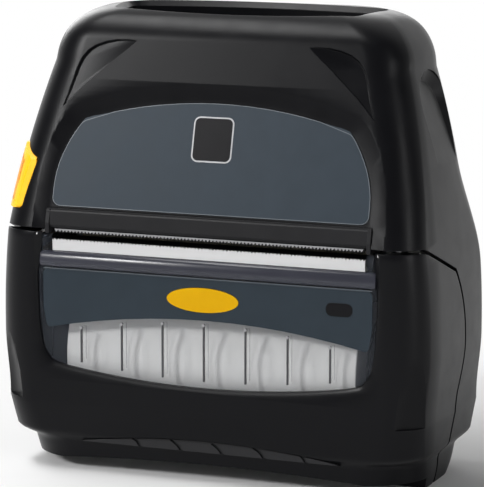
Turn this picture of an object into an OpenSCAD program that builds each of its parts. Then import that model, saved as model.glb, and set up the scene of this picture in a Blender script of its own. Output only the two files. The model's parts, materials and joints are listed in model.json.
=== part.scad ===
// Portable label printer, upright on its lower end.
// Origin on the ground under the middle of the body; front towards -Y, +X to the viewer's right.

/* [Body] */
// Overall width
body_w = 155; // [150:1:162]
// Overall depth, front to back
body_d = 67; // [66:0.5:72]
// Overall height
body_h = 158; // [156:1:164]
// Thickness of the moulded shells
wall = 2.4; // [2:0.1:2.6]
// Lean of the upper front, back per unit of height
lean = 0.27; // [0.24:0.01:0.28]
// Radius of the upright corners
corner_r = 14; // [12:1:15]
// Radius of the shoulders at the top left and right
shoulder_r = 14; // [12:1:16]

/* [Media cover] */
// Width of the seam
seam_gap = 0.8; // [0.6:0.1:1]
// Distance of the hinge axis behind the front face
hinge_in = 26.5; // [25.5:0.5:27]
// Height of the hinge axis
hinge_z = 5.5; // [5.3:0.1:6]
// Diameter of the hinge pins
hinge_pin_d = 3; // [2.5:0.1:3.4]
// Outer diameter of the hinge knuckles
knuckle_d = 10; // [9:0.5:10.5]

/* [Window] */
// Thickness of the window moulding
lens_t = 2.2; // [1.8:0.1:2.4]
// Set-back of the window behind the foremost face
lens_in = 1.2; // [0.8:0.1:1.5]
// Distance between the ribs of the window
rib_pitch = 15; // [12:0.5:15.5]
// Number of ribs
rib_n = 7; // [3:2:7]
// Thickness of the film panels
film_t = 0.6; // [0.4:0.1:0.8]

/* [Label roll] */
// Space between the front face and a full roll
roll_front = 5; // [4.8:0.1:7]
// Space between a full roll and the back face
roll_rear = 8; // [7.9:0.1:10]
// Space beside the roll at each end, for the arms and the drive
side_w = 25; // [24:0.5:28]
// Outer diameter of the cardboard core
core_d = 25.4; // [23:0.2:28]
// Bore of the core
core_bore = 19; // [18:0.2:20]

/* [Print mechanism] */
// Diameter of the platen roller
platen_d = 13; // [11:0.5:13]
// Reach of the platen past the labels at each end
platen_over = 1.5; // [0.5:0.1:2]
// Diameter of the platen shaft
shaft_d = 5; // [4:0.2:5.4]
// Tooth size (pitch diameter per tooth) of the drive gears
gear_m = 0.7; // [0.65:0.01:0.72]
// Teeth on the platen gear
platen_teeth = 18; // [16:1:18]
// Teeth on the idler gear
idler_teeth = 36; // [34:2:38]
// Teeth on the motor pinion
pinion_teeth = 12; // [11:1:13]
// Width of the gears
gear_t = 4; // [3:0.5:4.5]
// Diameter of the drive motor
motor_d = 24; // [20:1:24]
// Tooth pitch of the tear bars
tear_pitch = 1; // [0.8:0.1:1.4]

/* [Battery] */
// Height of the battery pack
battery_h = 34; // [30:1:35]
// Depth of the battery pack
battery_d = 24; // [21:0.5:24]

/* [Controls] */
// Depth of the sunken control well
well_h = 9; // [7:0.5:10]
// From the flank to the end of the control well
well_side = 34.5; // [34:0.5:37]
// Height of the keys above the control plate
key_proud = 1.2; // [0.8:0.1:1.6]
// Travel of the keys
key_travel = 0.6; // [0.3:0.1:0.7]
// Travel of the release button
button_travel = 3; // [2:0.5:3]

/* [Hidden] */
$fn = 48;
run = 0.05;        // radial clearance of a running fit
gap = 0.3;         // gap between neighbouring mouldings
roll_w = body_w - 2 * side_w;
half_roll = roll_w / 2;
frame_x = half_roll + 9.5; // inner faces of the side plates
frame_t = 1.8;     // their thickness
motor_l = 18;      // length of the drive motor inside them
eps = 0.01;
front_y = -body_d / 2;
back_y = body_d / 2;
half_w0 = body_w / 2;

// Heights that the mechanism sets
roll_z = 40;
platen_z = roll_z + 33.5;
seam_z = platen_z + 10.5;

// Heights of the body form
widest_z = 58;
taper_k = 0.00197;
foot_h = 20;
foot_in = 7;
chin_h = 26;
chin_in = 8.5;
lean_z = seam_z - 2;
brow_r = 10;
crown_r = 6;
heel_h = 6;
heel_in = 3.5;
foot_r = 22;
back_wall = 3.6;

// Body form: one rounded section, lofted over the height
function half_w(z) = let (
    flank = half_w0 - taper_k * pow(max(0, z - widest_z), 2),
    foot = foot_in * max(0, 1 - z / foot_h),
    top_z = body_h - shoulder_r,
    flank_top = half_w0 - taper_k * pow(top_z - widest_z, 2))
    z <= top_z ? flank - foot
    : flank_top - shoulder_r + sqrt(max(0, pow(shoulder_r, 2) - pow(z - top_z, 2)));
function front(z) = front_y + lean * max(0, z - lean_z)
    + chin_in * pow(max(0, 1 - z / chin_h), 1.8)
    + (z > body_h - brow_r ? brow_r - sqrt(max(0, pow(brow_r, 2) - pow(z - body_h + brow_r, 2))) : 0);
function back(z) = back_y - heel_in * pow(max(0, 1 - z / heel_h), 2)
    - (z > body_h - crown_r ? crown_r - sqrt(max(0, pow(crown_r, 2) - pow(z - body_h + crown_r, 2))) : 0);
function front_r(z) = corner_r + (foot_r - corner_r) * max(0, 1 - z / foot_h);

function arc(cx, cy, r, a0, a1, n) = [for (k = [0:n]) let (a = a0 + (a1 - a0) * k / n) [cx + r * cos(a), cy + r * sin(a)]];
function section(z, inset, rear) = let (
    w = half_w(z) - inset, yf = front(z) + inset, yb = back(z) - rear,
    rf = max(1, front_r(z) - inset), rb = max(1, corner_r - inset), n = inset > 0 ? 4 : 7)
    concat(arc(w - rb, yb - rb, rb, 0, 90, n), arc(-(w - rb), yb - rb, rb, 90, 180, n),
           arc(-(w - rf), yf + rf, rf, 180, 270, n), arc(w - rf, yf + rf, rf, 270, 360, n));
levels = [for (s = [0, 0.015, 0.035, 0.06, 0.09, 0.127, 0.17, 0.25, 0.36, 0.44, 0.52, 0.58, 0.66, 0.74, 0.81, 0.86,
                    0.9, 0.925, 0.945, 0.962, 0.976, 0.987, 0.995, 1]) s * body_h];

module form(inset = 0, rear = 0, z0 = 0, z1 = body_h) {
    zs = concat([z0], [for (z = levels) if (z > z0 + 0.4 && z < z1 - 0.4) z], [z1]);
    rings = [for (z = zs) section(z, inset, rear)];
    n = len(rings[0]);
    m = len(zs);
    points = [for (i = [0:m - 1]) for (p = rings[i]) [p[0], p[1], zs[i]]];
    sides = [for (i = [0:m - 2]) for (j = [0:n - 1]) let (k = (j + 1) % n)
        each [[i * n + j, (i + 1) * n + j, i * n + k], [i * n + k, (i + 1) * n + j, (i + 1) * n + k]]];
    polyhedron(points, concat(sides, [[for (j = [0:n - 1]) j], [for (j = [n - 1:-1:0]) (m - 1) * n + j]]), convexity = 6);
}

// Extrusions along X, from a (Y, Z) outline, and along Y, from an (X, Z) outline
module along_x(x0, x1) translate([x0, 0, 0]) rotate([90, 0, 90]) linear_extrude(x1 - x0) children();
module along_y(y0, y1) translate([0, y1, 0]) rotate([90, 0, 0]) linear_extrude(y1 - y0) children();
module both_sides() { children(); mirror([1, 0, 0]) children(); }
module rod_x(y, z, d, x0, x1) translate([x0, y, z]) rotate([0, 90, 0]) cylinder(d = d, h = x1 - x0);
module rounded(w, h, r) offset(r) square([w - 2 * r, h - 2 * r], center = true);

// Tooth outline of a spur gear, with one tooth centred on the +x axis
module gear_outline(m, n, slack = 0.08) {
    pitch = 360 / n;
    r = m * n / 2;
    polygon([for (i = [0:n - 1]) let (a = i * pitch) each [
        for (q = [[-0.3, -1.2], [-0.21, 0], [-0.1, 0.95], [0.1, 0.95], [0.21, 0], [0.3, -1.2]])
            let (rr = r + q[1] * m, b = a + q[0] * pitch) [rr * cos(b), rr * sin(b)]]]);
}

// Coil spring along +Z: one tube of five sides swept up a helix
module coil(d, wire, length, turns, steps = 10) {
    sides = 5;
    total = round(turns * steps);
    rise = (length - wire) / total;
    points = [for (i = [0:total]) let (a = 360 * i / steps) for (k = [0:sides - 1]) let (b = 360 * k / sides,
        rr = (d - wire) / 2 + wire / 2 * cos(b)) [rr * cos(a), rr * sin(a), wire / 2 + rise * i + wire / 2 * sin(b)]];
    tube = [for (i = [0:total - 1]) for (k = [0:sides - 1]) let (l = (k + 1) % sides)
        each [[i * sides + k, i * sides + l, (i + 1) * sides + k], [i * sides + l, (i + 1) * sides + l, (i + 1) * sides + k]]];
    polyhedron(points, concat(tube, [[for (k = [sides - 1:-1:0]) k], [for (k = [0:sides - 1]) total * sides + k]]));
}

// Seam: everything in front of this (Y, Z) outline belongs to the cover
seam_c = [front_y + 1.5, seam_z - 36];
seam_r = 41.4;
seam_knee = front_y + 7.5;
hinge_y = front_y + hinge_in;
hinge_relief = 8;
module seam_outline(grow) offset(delta = grow) union() {
    polygon(concat([[-60, -20], [-60, seam_z - seam_gap / 2], [seam_knee, seam_z - seam_gap / 2]],
                   arc(seam_c[0], seam_c[1], seam_r, 37.5, -25, 9),
                   [[hinge_y + hinge_relief, hinge_z + 2], [hinge_y + hinge_relief, hinge_z],
                    [hinge_y, -20]]));
    translate([hinge_y, hinge_z]) circle(hinge_relief);
}
module cover_zone(grow) along_x(-half_w0 - 5, half_w0 + 5) seam_outline(grow);

// Hinge
lug_x = half_roll - 8.5;
lug_t = 6;
knuckle_t = 7;
side_gap = 0.4;
module hinge_lugs() both_sides() difference() {
    along_x(lug_x, lug_x + lug_t) difference() {
        hull() {
            translate([hinge_y, hinge_z]) circle(d = knuckle_d);
            translate([hinge_y + 14.5, wall]) circle(r = wall);
            translate([hinge_y + 12, 7.5]) circle(r = 2);
        }
        translate([hinge_y, hinge_z]) circle(d = hinge_pin_d);
    }
}
module cover_knuckles() both_sides() for (x = [lug_x - side_gap - knuckle_t, lug_x + lug_t + side_gap])
    along_x(x, x + knuckle_t) difference() {
        hull() {
            translate([hinge_y, hinge_z]) circle(d = knuckle_d);
            translate([hinge_y - 14, wall]) circle(r = wall);
        }
        translate([hinge_y, hinge_z]) circle(d = hinge_pin_d + 2 * run);
    }

// Upper panel: (X, distance up the lean) outline
lean_a = atan(lean);
panel_z = seam_z + 8;
panel_h = 37.6;
panel_w = half_roll + 4.5;
panel_in = 0.9;
function panel_half(u) = panel_w - 8.6 * pow(max(0, u - 6) / (panel_h - 14), 2);
module panel_outline(grow = 0) offset(grow) offset(4) offset(-4) polygon(concat(
    [[-panel_w, 0], [panel_w, 0]],
    [for (u = [6, 11, 16, 21, 26, 31]) [panel_half(u), u]],
    arc(0, panel_h - 160, 160, 90 - 15.5, 90 + 15.5, 8),
    [for (u = [31, 26, 21, 16, 11, 6]) [-panel_half(u), u]]));
module on_front(depth0, depth1) translate([0, front(panel_z), panel_z]) rotate([90 - lean_a, 0, 0])
    translate([0, 0, -depth1]) linear_extrude(depth1 - depth0) children();

// Scoops at the upper front corners: crescent between a round corner and its chord
module scoop_outline() both_sides() translate([panel_w, body_h - panel_z - 28.4]) polygon([[-27, 20.8], [-20.5, 20.7], [-15, 19.9],
    [-9.5, 18], [-6, 15], [-3.8, 10.1], [-2.4, 4.4], [-0.5, -3.4], [-4.7, 0.7], [-10.6, 6.4], [-17, 12.7], [-23, 17.2]]);

// Arched grip pockets on the flanks: deepest under the arch, running out below
pocket_y = 5;
pocket_r = 12.5;
pocket_top = body_h - 17.5;
pocket_low = panel_z + 16;
module arch(grow, in) translate([pocket_y, 0]) {
    translate([0, pocket_top - pocket_r]) circle(pocket_r + grow - in);
    translate([-pocket_r - grow + in, pocket_low - grow]) square([2 * (pocket_r + grow - in), pocket_top - pocket_r - pocket_low + grow]);
}
module pocket(grow) both_sides() hull() {
    along_x(half_w0 + 4, half_w0 + 5) arch(grow, -4);
    translate([half_w(pocket_low) - grow, 0, pocket_low]) rotate([0, -20, 0]) translate([0, 0, -pocket_low])
        along_x(0, 0.02) arch(grow, 4);
}

// Thumb scoops on the columns
module thumb_scoops() both_sides() translate([half_w0 + 3, front_y + 2, 36]) rotate([0, 0, -38]) rotate([0, 8, 0])
    cylinder(r = 6, h = 22, center = true);

// Control well
well_x = half_w0 - well_side;
well_front = front_y + 25.7;
well_front_r = 260;
well_back = back_y - 8.5;
well_back_r = 145;
well_flare = 3.8;
well_floor = body_h - well_h;
function well_near(x) = well_front + well_front_r - sqrt(pow(well_front_r, 2) - x * x);
function well_far(x) = well_back - well_back_r + sqrt(pow(well_back_r, 2) - x * x);
module well_outline(grow = 0) offset(grow) offset(3) offset(-3) polygon(concat(
    [for (i = [-4:4]) let (x = i * well_x / 4) [x, well_near(x)]],
    [for (i = [4:-1:-4]) let (x = i * (well_x + well_flare) / 4) [x, well_far(x)]]));

// Release button: (Y, Z) outline on the left flank
module button_outline(grow) offset(grow) offset(1) offset(-1) polygon([[front_y + 8.9, seam_z + 6],
    [front_y + 9.4, seam_z + 23], [front_y + 16, seam_z + 27.5], [door_y[0] - 7, seam_z + 27.5], [door_y[0] - 7, seam_z + 6]]);
// Port door: (Y, Z) outline
door_y = [back_y - 26.5, back_y - 8.5];
door_z = [seam_z + 4.5, seam_z + 22.5];
module door_outline(grow) offset(grow) translate([(door_y[0] + door_y[1]) / 2, (door_z[0] + door_z[1]) / 2])
    rounded(door_y[1] - door_y[0], door_z[1] - door_z[0], 2);

// Battery bay
battery_w = 2 * (frame_x - motor_l) - 15;
battery_z = well_floor - 10 - battery_h;
bay_clear = 0.5;
bay_wall = 1.5;
battery_front = back_y - battery_d;

// Front opening for the exit bar
bar_x = half_roll + 6;
bar_top = panel_z - 1;

module housing_shell() color([0.05, 0.05, 0.055]) difference() {
    union() {
        difference() {
            form();
            difference() {
                form(wall, back_wall, wall, well_floor - 3);
                pocket(wall);
                on_front(-1, 2.2 + wall) panel_outline(7);
            }
            cover_zone(seam_gap / 2);
            translate([0, 0, well_floor]) linear_extrude(well_h + 1) well_outline();
            translate([0, 0, ctrl_z]) linear_extrude(3) well_outline(0.1);
            translate([0, 0, ctrl_z - 3]) linear_extrude(4) well_outline(-1);
            along_y(front_y - 2, front_y + 14) translate([-bar_x, seam_z - 8]) square([2 * bar_x, bar_top - seam_z + 8]);
            pocket(0);
            hull() { on_front(-4, -3.9) panel_outline(8.5); on_front(1.3, 1.31) panel_outline(1); }
            on_front(0, 0.9 + film_t) panel_outline(0.15);
            on_front(-4, 1.2) scoop_outline();
            along_x(-half_w0 - 5, -60) button_outline(gap);
            along_x(-half_w0 - 5, -60) door_outline(gap);
            along_y(back_y - plate_t, back_y + 1) translate([0, plate_mid]) rounded(plate_w + 2 * gap, plate_h + 2 * gap, 6);
            along_y(back_y - 5, back_y + 1) translate([0, plate_mid]) rounded(plate_w - 8, plate_h - 8, 4);
        }
        intersection() { form(); hinge_lugs(); }
        screw_bosses();
        intersection() {
            form(1);
            both_sides() for (p = plate_fix) rod_x(p[0], p[1], 7, frame_x + frame_t, half_w0);
        }
        intersection() {
            form(1.6);
            for (p = board_posts) translate([p[0], -40, p[1]]) rotate([-90, 0, 0]) cylinder(d = 6.5, h = 40 + main_y);
        }
        translate([0, rod_y, wall - eps]) cylinder(d = 3, h = rack_z[1] + 0.8 - wall);
    }
    back_screw_holes();
    both_sides() for (p = plate_fix) rod_x(p[0], p[1], 2.6, frame_x, frame_x + frame_t + 5);
    for (p = board_posts) translate([p[0], main_y - 7, p[1]]) rotate([-90, 0, 0]) cylinder(d = 2.4, h = 8);
}

// Back plate
plate_t = 1.6;
plate_w = body_w - 59;
plate_low = 15;
plate_h = body_h - 13 - plate_low;
plate_mid = plate_low + plate_h / 2;
plate_screws = [for (x = [-1, 1]) for (z = [-1, 0, 1]) [x * (plate_w / 2 - 4), plate_mid + z * (plate_h / 2 - 4)]];
insert_x = 20;
insert_z = plate_mid;
insert_d = 4;
module screw_bosses() for (p = plate_screws) translate([p[0], back_y - 6.5, p[1]]) rotate([-90, 0, 0]) cylinder(d = 6, h = 6.5 - plate_t);
module back_screw_holes() for (p = plate_screws) translate([p[0], back_y - 6.6, p[1]]) rotate([-90, 0, 0]) cylinder(d = 2.5, h = 7);
module back_plate() color([0.06, 0.06, 0.065]) difference() {
    union() {
        along_y(back_y - plate_t, back_y) translate([0, plate_mid]) rounded(plate_w, plate_h, 6);
        difference() {
            along_y(battery_front - bay_clear - bay_wall, back_y - 1) translate([0, battery_z + battery_h / 2])
                square([battery_w + 2 * (bay_clear + bay_wall), battery_h + 2 * (bay_clear + bay_wall)], center = true);
            along_y(battery_front - bay_clear, back_y + 1) translate([0, battery_z + battery_h / 2])
                square([battery_w + 2 * bay_clear, battery_h + 2 * bay_clear], center = true);
        }
        for (x = [-1, 1]) translate([x * insert_x, back_y - 5.6, insert_z]) rotate([-90, 0, 0]) cylinder(d = 8, h = 5);
    }
    along_y(battery_front - bay_clear, back_y + 1) translate([0, battery_z + battery_h / 2])
        square([battery_w + 2 * bay_clear, battery_h + 2 * bay_clear], center = true);
    for (p = plate_screws) translate([p[0], back_y - 2, p[1]]) rotate([-90, 0, 0]) { cylinder(d = 3.2, h = 3); translate([0, 0, 1.2]) cylinder(d = 5.8, h = 3); }
    for (x = [-1, 1]) translate([x * insert_x, back_y - 5, insert_z]) rotate([-90, 0, 0]) cylinder(d = insert_d, h = 6);
    along_y(battery_front - bay_clear - bay_wall - 1, battery_front) for (i = [0:4]) translate([contact_x + i * 5, battery_z + 6]) square([3, 8], center = true);
}
contact_x = -battery_w / 2 + 6.5;

module upper_panel() color([0.25, 0.28, 0.32]) on_front(panel_in, panel_in + film_t) panel_outline();

// Fixed bar above the label exit
module exit_bar() color([0.15, 0.15, 0.16]) {
    along_x(-bar_x, bar_x) translate([front_y, seam_z]) polygon([[2.5, 0.4], [1.7, 1.4], [2.3, 6], [2.9, 6.4], [2.9, bar_top - seam_z],
        [8.5, bar_top - seam_z], [9.5, 6], [9.5, 2], [7.5, 0.4]]);
    both_sides() along_x(bar_x - 1.4, bar_x) translate([front_y, seam_z]) polygon([[1.3, -1.4], [1.3, 2], [2.5, 6.6], [7.5, 6.6], [7.5, -1.4]]);
}
module tear_edge(w, base, height, pitch) let (n = floor(w / pitch)) polygon(concat([[-w / 2, 0], [w / 2, 0]],
    [for (i = [n:-1:0]) each [[-w / 2 + w * i / n, base + height], if (i > 0) [-w / 2 + w * (i - 0.5) / n, base]]]));
tear_w = roll_w + 7;
module upper_tear_bar() color([0.2, 0.2, 0.21]) {
    translate([0, 0, seam_z + 0.4]) mirror([0, 0, 1]) along_y(front_y + 3.1, front_y + 3.7) tear_edge(tear_w, 1, 0.9, tear_pitch);
    along_x(-tear_w / 2, tear_w / 2) translate([front_y, seam_z]) polygon([[3.1, -0.6], [3.1, 0.4], [6.1, 0.4], [6.1, -0.4], [3.7, -0.6]]);
}

// Control plate, display and keys
ctrl_t = 1.8;
ctrl_z = well_floor - ctrl_t;
display_x = [8 - well_x, -3];
display_y = [well_front + 10.3, well_back - 8.5];
display_at = [(display_x[0] + display_x[1]) / 2, (display_y[0] + display_y[1]) / 2];
display_size = [display_x[1] - display_x[0], display_y[1] - display_y[0]];
nav_at = [well_x - 28.5, 6.5];
nav_r = 8.5;
select_r = 3.6;
key_size = [8, 4];
soft_y = well_front + 5.8;
keys = [["soft_key_left", [display_at[0] - 8, soft_y]], ["soft_key_right", [display_at[0] + 8, soft_y]],
        ["power_key", [well_x - 9.5, 12.5]], ["feed_key", [well_x - 9.5, 0.5]]];
module key_hole(at, grow) translate(at) rounded(key_size[0] + 2 * grow, key_size[1] + 2 * grow, 1.5);
peg_x = well_x - 4;
peg_y = 6.5;
module control_plate() color([0.03, 0.03, 0.035]) difference() {
    union() {
    translate([0, 0, ctrl_z]) linear_extrude(ctrl_t) difference() {
        well_outline();
        for (k = keys) key_hole(k[1], gap / 2 + 0.1);
        translate(nav_at) circle(nav_r + 0.25);
        translate(display_at) rounded(display_size[0] - 3, display_size[1] - 3, 1);
    }
    for (x = [-peg_x, peg_x]) translate([x, peg_y, board_z + board_t]) cylinder(d = 3.6, h = ctrl_z - board_z - board_t + eps);
    for (x = [-peg_x, peg_x]) translate([x, peg_y, board_z - 0.6]) cylinder(d = 2, h = 4);
    }
    translate([0, 0, well_floor - 1]) linear_extrude(2) translate(display_at) rounded(display_size[0] + 0.2, display_size[1] + 0.2, 1.5);
}
module display_lens() color([0.1, 0.12, 0.13]) translate([0, 0, well_floor - 1]) linear_extrude(0.9) translate(display_at) rounded(display_size[0], display_size[1], 1.4);
board_z = ctrl_z - 4.2;
board_t = 1.6;
dome_h = 0.95;
module display_module() color([0.5, 0.55, 0.5]) {
    translate([0, 0, ctrl_z - 1.6]) linear_extrude(1.6 - eps) translate(display_at) square([display_size[0] + 1, display_size[1] + 1], center = true);
    translate([0, 0, ctrl_z - eps]) linear_extrude(0.7) translate(display_at) square([display_size[0] - 4, display_size[1] - 4], center = true);
    for (x = [-1, 1]) for (y = [-1, 1]) translate([display_at[0] + x * (display_size[0] / 2 - 2), display_at[1] + y * (display_size[1] / 2 - 1.5), board_z + board_t]) cylinder(d = 2, h = ctrl_z - 1.6 - board_z - board_t + eps);
}
module keypad_board() color([0.1, 0.35, 0.2]) {
    difference() {
        translate([0, 0, board_z]) linear_extrude(board_t) intersection() {
            translate([0, 4.2]) square([2 * well_x - 4, 25], center = true);
            well_outline(-2.6);
        }
        for (x = [-peg_x, peg_x]) translate([x, peg_y, board_z - 1]) cylinder(d = 2.2, h = 4);
    }
    for (at = concat([for (k = keys) k[1]], [nav_at])) translate([at[0], at[1], board_z + board_t - eps]) cylinder(d = 3.4, h = dome_h + eps);
    for (a = [45:90:315]) translate([nav_at[0] + 6.6 * cos(a), nav_at[1] + 6.6 * sin(a), board_z + board_t - eps]) cylinder(d = 2.4, h = dome_h + eps);
}
key_flange = 0.5;
key_foot = ctrl_z - 0.9;
module key(at, size, proud) {
    translate([0, 0, key_foot]) linear_extrude(well_floor + proud - key_foot) translate(at) rounded(size[0], size[1], 1.4);
    translate([0, 0, key_foot]) linear_extrude(0.8) translate(at) square([size[0] + 2 * key_flange, size[1] + 2 * key_flange], center = true);
}
module power_key() color([0.2, 0.2, 0.2]) key(keys[2][1], key_size, key_proud);
module feed_key() color([0.2, 0.2, 0.2]) key(keys[3][1], key_size, key_proud);
module soft_key_left() color([0.2, 0.2, 0.2]) key(keys[0][1], key_size, key_proud);
module soft_key_right() color([0.2, 0.2, 0.2]) key(keys[1][1], key_size, key_proud);
module nav_ring() color([0.2, 0.2, 0.2]) difference() {
    translate([nav_at[0], nav_at[1], key_foot]) { cylinder(r = nav_r, h = well_floor + key_proud - key_foot); cylinder(r = nav_r + key_flange, h = 0.8); }
    translate([nav_at[0], nav_at[1], key_foot - 1]) cylinder(r = select_r + 0.3, h = 12);
}
module select_key() color([0.25, 0.25, 0.25]) translate([nav_at[0], nav_at[1], key_foot]) cylinder(r = select_r, h = well_floor + key_proud + 0.3 - key_foot);

// Boards
main_y = front_y + 21.9;
board_w = 2 * frame_x - 32;
board_low = panel_z + 1.5;
board_high = well_floor - 11.5;
board_posts = [for (x = [-1, 1]) for (z = [board_low + 3.5, board_high - 3.5]) [x * (board_w / 2 - 3.5), z]];
module board_part(x, z, w, h, t) along_y(main_y + 1.6 - eps, main_y + 1.6 + t)
    translate([x * board_w / 2, board_low + z * (board_high - board_low)]) square([w, h], center = true);
module main_board() color([0.08, 0.33, 0.18]) {
    difference() {
        along_y(main_y, main_y + 1.6) translate([0, (board_low + board_high) / 2]) rounded(board_w, board_high - board_low, 2);
        for (p = board_posts) translate([p[0], main_y - 1, p[1]]) rotate([-90, 0, 0]) cylinder(d = 2.8, h = 4);
    }
    board_part(-18 / 46, 18.5 / 44, 16, 16, 1.4);
    board_part(4 / 46, 28.5 / 44, 10, 14, 1.2);
    board_part(30 / 46, 10.5 / 44, 20, 6, 5);
    board_part(-34 / 46, 6.5 / 44, 12, 5, 5.5);
    board_part(20 / 46, 34.5 / 44, 14, 6, 4.5);
    board_part(-34 / 46, 32.5 / 44, 10, 10, 3);
    radio_module();
}
// Radio module soldered to the main board
module radio_module() {
    along_y(main_y + 1.6 - eps, main_y + 2.5) translate([10, board_low + 13.5]) square([16, 12], center = true);
    along_y(main_y + 2.5 - eps, main_y + 4.4) translate([8.5, board_low + 13.5]) square([11, 10.5], center = true);
}

// Ports behind the door on the left flank
port_x = -frame_x - frame_t - 2.6;
port_z = (door_z[0] + door_z[1]) / 2;
io_y = (door_y[0] + door_y[1]) / 2;
io_hole = 7.5;
module io_board() color([0.08, 0.33, 0.18]) along_x(port_x + 1, port_x + 2.6) difference() {
    translate([io_y, port_z]) rounded(19, 18, 1.5);
    for (s = [-1, 1]) translate([io_y + s * io_hole, port_z - 7]) circle(d = 2);
}
module usb_socket() along_x(port_x - 3.8, port_x + 1 - eps) translate([io_y - 4.5, port_z]) difference() {
    rounded(5, 9, 0.8);
    rounded(4, 7.8, 0.5);
}
module power_socket() difference() {
    along_x(port_x - 4, port_x + 1 - eps) translate([io_y + 3.5, port_z]) rounded(9, 9, 1);
    rod_x(io_y + 3.5, port_z, 6, port_x - 5, port_x - 0.5);
}
module port_sockets() color([0.7, 0.7, 0.72]) {
    usb_socket();
    power_socket();
}
module port_door() color([0.07, 0.07, 0.075]) {
    intersection() {
        difference() { form(0, 0, door_z[0] - 4.5, door_z[1] + 5.5); form(1.8, 1.8, door_z[0] - 5.5, door_z[1] + 6.5); }
        along_x(-half_w0 - 1, -55) door_outline(0);
    }
}

// Frame of the print mechanism
roll_d = body_d - roll_front - roll_rear;
roll_y = front_y + roll_front + roll_d / 2;
platen_y = front_y + 14;
latch_y = front_y + 29.5;
latch_z = platen_z + 8.5;
latch_d = 4;
pivot_y = front_y + 24.5;
pivot_z = platen_z + 15.5;
pivot_d = 2.4;
open_a = atan2(platen_y - hinge_y, hinge_z - platen_z) - 90;
mesh_slack = 0.1;
mesh_a = atan2(hinge_y - platen_y, platen_z - hinge_z);
idler_d = gear_m * (platen_teeth + idler_teeth) / 2 + mesh_slack;
idler_y = platen_y + idler_d * cos(mesh_a);
idler_z = platen_z + idler_d * sin(mesh_a);
drive_a = 60;
drive_d = gear_m * (idler_teeth + pinion_teeth) / 2 + mesh_slack;
motor_y = idler_y + drive_d * cos(drive_a);
motor_z = idler_z + drive_d * sin(drive_a);
bush_d = 8;
rod_y = back_y - 13.5;
rod_z = 11;
rod_d = 3;
plate_fix = [[back_y - 7, 22], [back_y - 8.5, platen_z - 3.5]];
rail_y = front_y + 34.5;
rail_t = 1.5;
// Opening that the bushes leave by, along their swing about the hinge
module bush_path(a) translate([hinge_y, hinge_z]) rotate(a) translate([platen_y - hinge_y, platen_z - hinge_z]) circle(bush_d / 2 + run + 0.06 * a);
module plate_profile() difference() {
    offset(2) offset(-2) polygon(concat(
        [[roll_y + 7.5, 5], [back_y - 4.7, 5], [back_y - 4.7, seam_z + 16]],
        [for (p = [[45.5, 26.5], [33.5, 20.5], [19.5, 20.5], [17.5, 17.5], [17.5, 6.5], [8.5, 5], [8.5, -5.5], [21.5, -9.5]]) [front_y + p[0], platen_z + p[1]]],
        [for (p = [[9.5, 24], [14.5, 14], [13.5, 0], [10.5, -16]]) [roll_y + p[0], roll_z + p[1]]]));
    for (i = [0:3]) hull() { bush_path(i * 4); bush_path(i * 4 + 4); }
    translate([latch_y, latch_z]) circle(d = latch_d + 2 * run);
    translate([pivot_y, pivot_z]) circle(d = pivot_d);
    translate([rod_y, rod_z]) circle(d = rod_d);
    for (p = plate_fix) translate(p) circle(d = 3);
}
module side_plate_right() color([0.62, 0.63, 0.65]) along_x(frame_x, frame_x + frame_t) difference() {
    plate_profile();
    translate([idler_y, idler_z]) circle(d = 3);
    translate([motor_y, motor_z]) circle(d = 9);
    for (s = [-1, 1]) translate([motor_y + s * ear_y, motor_z]) circle(d = 2.6);
}
module side_plate_left() color([0.62, 0.63, 0.65]) along_x(-frame_x - frame_t, -frame_x) difference() {
    union() { plate_profile(); translate([spring_at[0] - 3.5, spring_at[1] - 15]) square([6, 18.5]); }
    for (s = [-1, 1]) translate([io_y + s * io_hole, port_z - 7]) circle(d = 2);
}
module spring_rail() color([0.62, 0.63, 0.65]) along_x(-frame_x, frame_x) translate([rail_y, platen_z - 3.5]) square([rail_t, 9.5]);

// Bay liner: trough behind the roll, slotted for the two arms
liner_gap = 2;
liner_t = 1.5;
arm_angle = atan2(rod_z - roll_z, rod_y - roll_y);
module liner_outline() difference() {
    translate([roll_y, roll_z]) circle(roll_d / 2 + liner_gap + liner_t, $fn = 96);
    translate([roll_y, roll_z]) circle(roll_d / 2 + liner_gap, $fn = 96);
    translate([roll_y, roll_z]) polygon([[0, 0], 80 * [cos(-68), sin(-68)], [-80, -80], [-80, 80], 80 * [cos(78), sin(78)]]);
}
module bay_liner() color([0.08, 0.08, 0.085]) difference() {
    along_x(-frame_x, frame_x) liner_outline();
    both_sides() translate([half_roll - 5.5, roll_y, roll_z]) rotate([arm_angle, 0, 0]) translate([0, 20, -7.5]) cube([30, 20, 15]);
}

// Printhead on its pivoting bracket
head_y = platen_y + platen_d / 2 + 0.1;
head_t = 1.2;
module printhead_bracket() color([0.72, 0.73, 0.75]) difference() {
    union() {
        along_x(-half_roll - 1.5, half_roll + 1.5) translate([head_y + head_t, platen_z])
            polygon([[0, -5.5], [0, 10.5], [3, 10.5], [3, 4.5], [4.4, 3.5], [4.4, 2], [3, 1.5], [3, -5.5]]);
        both_sides() along_x(half_roll - 3.5, half_roll + 1.5) hull() { translate([pivot_y, pivot_z]) circle(d = 5.4); translate([head_y + head_t + 1.5, platen_z + 6.5]) circle(d = 3); }
    }
    rod_x(pivot_y, pivot_z, pivot_d + 2 * run, -frame_x - 8, frame_x + 8);
}
module printhead() color([0.85, 0.83, 0.78]) along_x(-half_roll - 1, half_roll + 1) translate([head_y, platen_z])
    polygon([[0.25, -5], [0.25, -1.2], [0, -0.5], [0, 0.5], [0.25, 1.2], [0.25, 7.5], [head_t, 7.5], [head_t, -5]]);
module printhead_pivot_rod() color([0.75, 0.75, 0.77]) rod_x(pivot_y, pivot_z, pivot_d, -frame_x - frame_t, frame_x + frame_t);
spring_z = platen_z - 0.9;
spring_x = [-32, 32];
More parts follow.
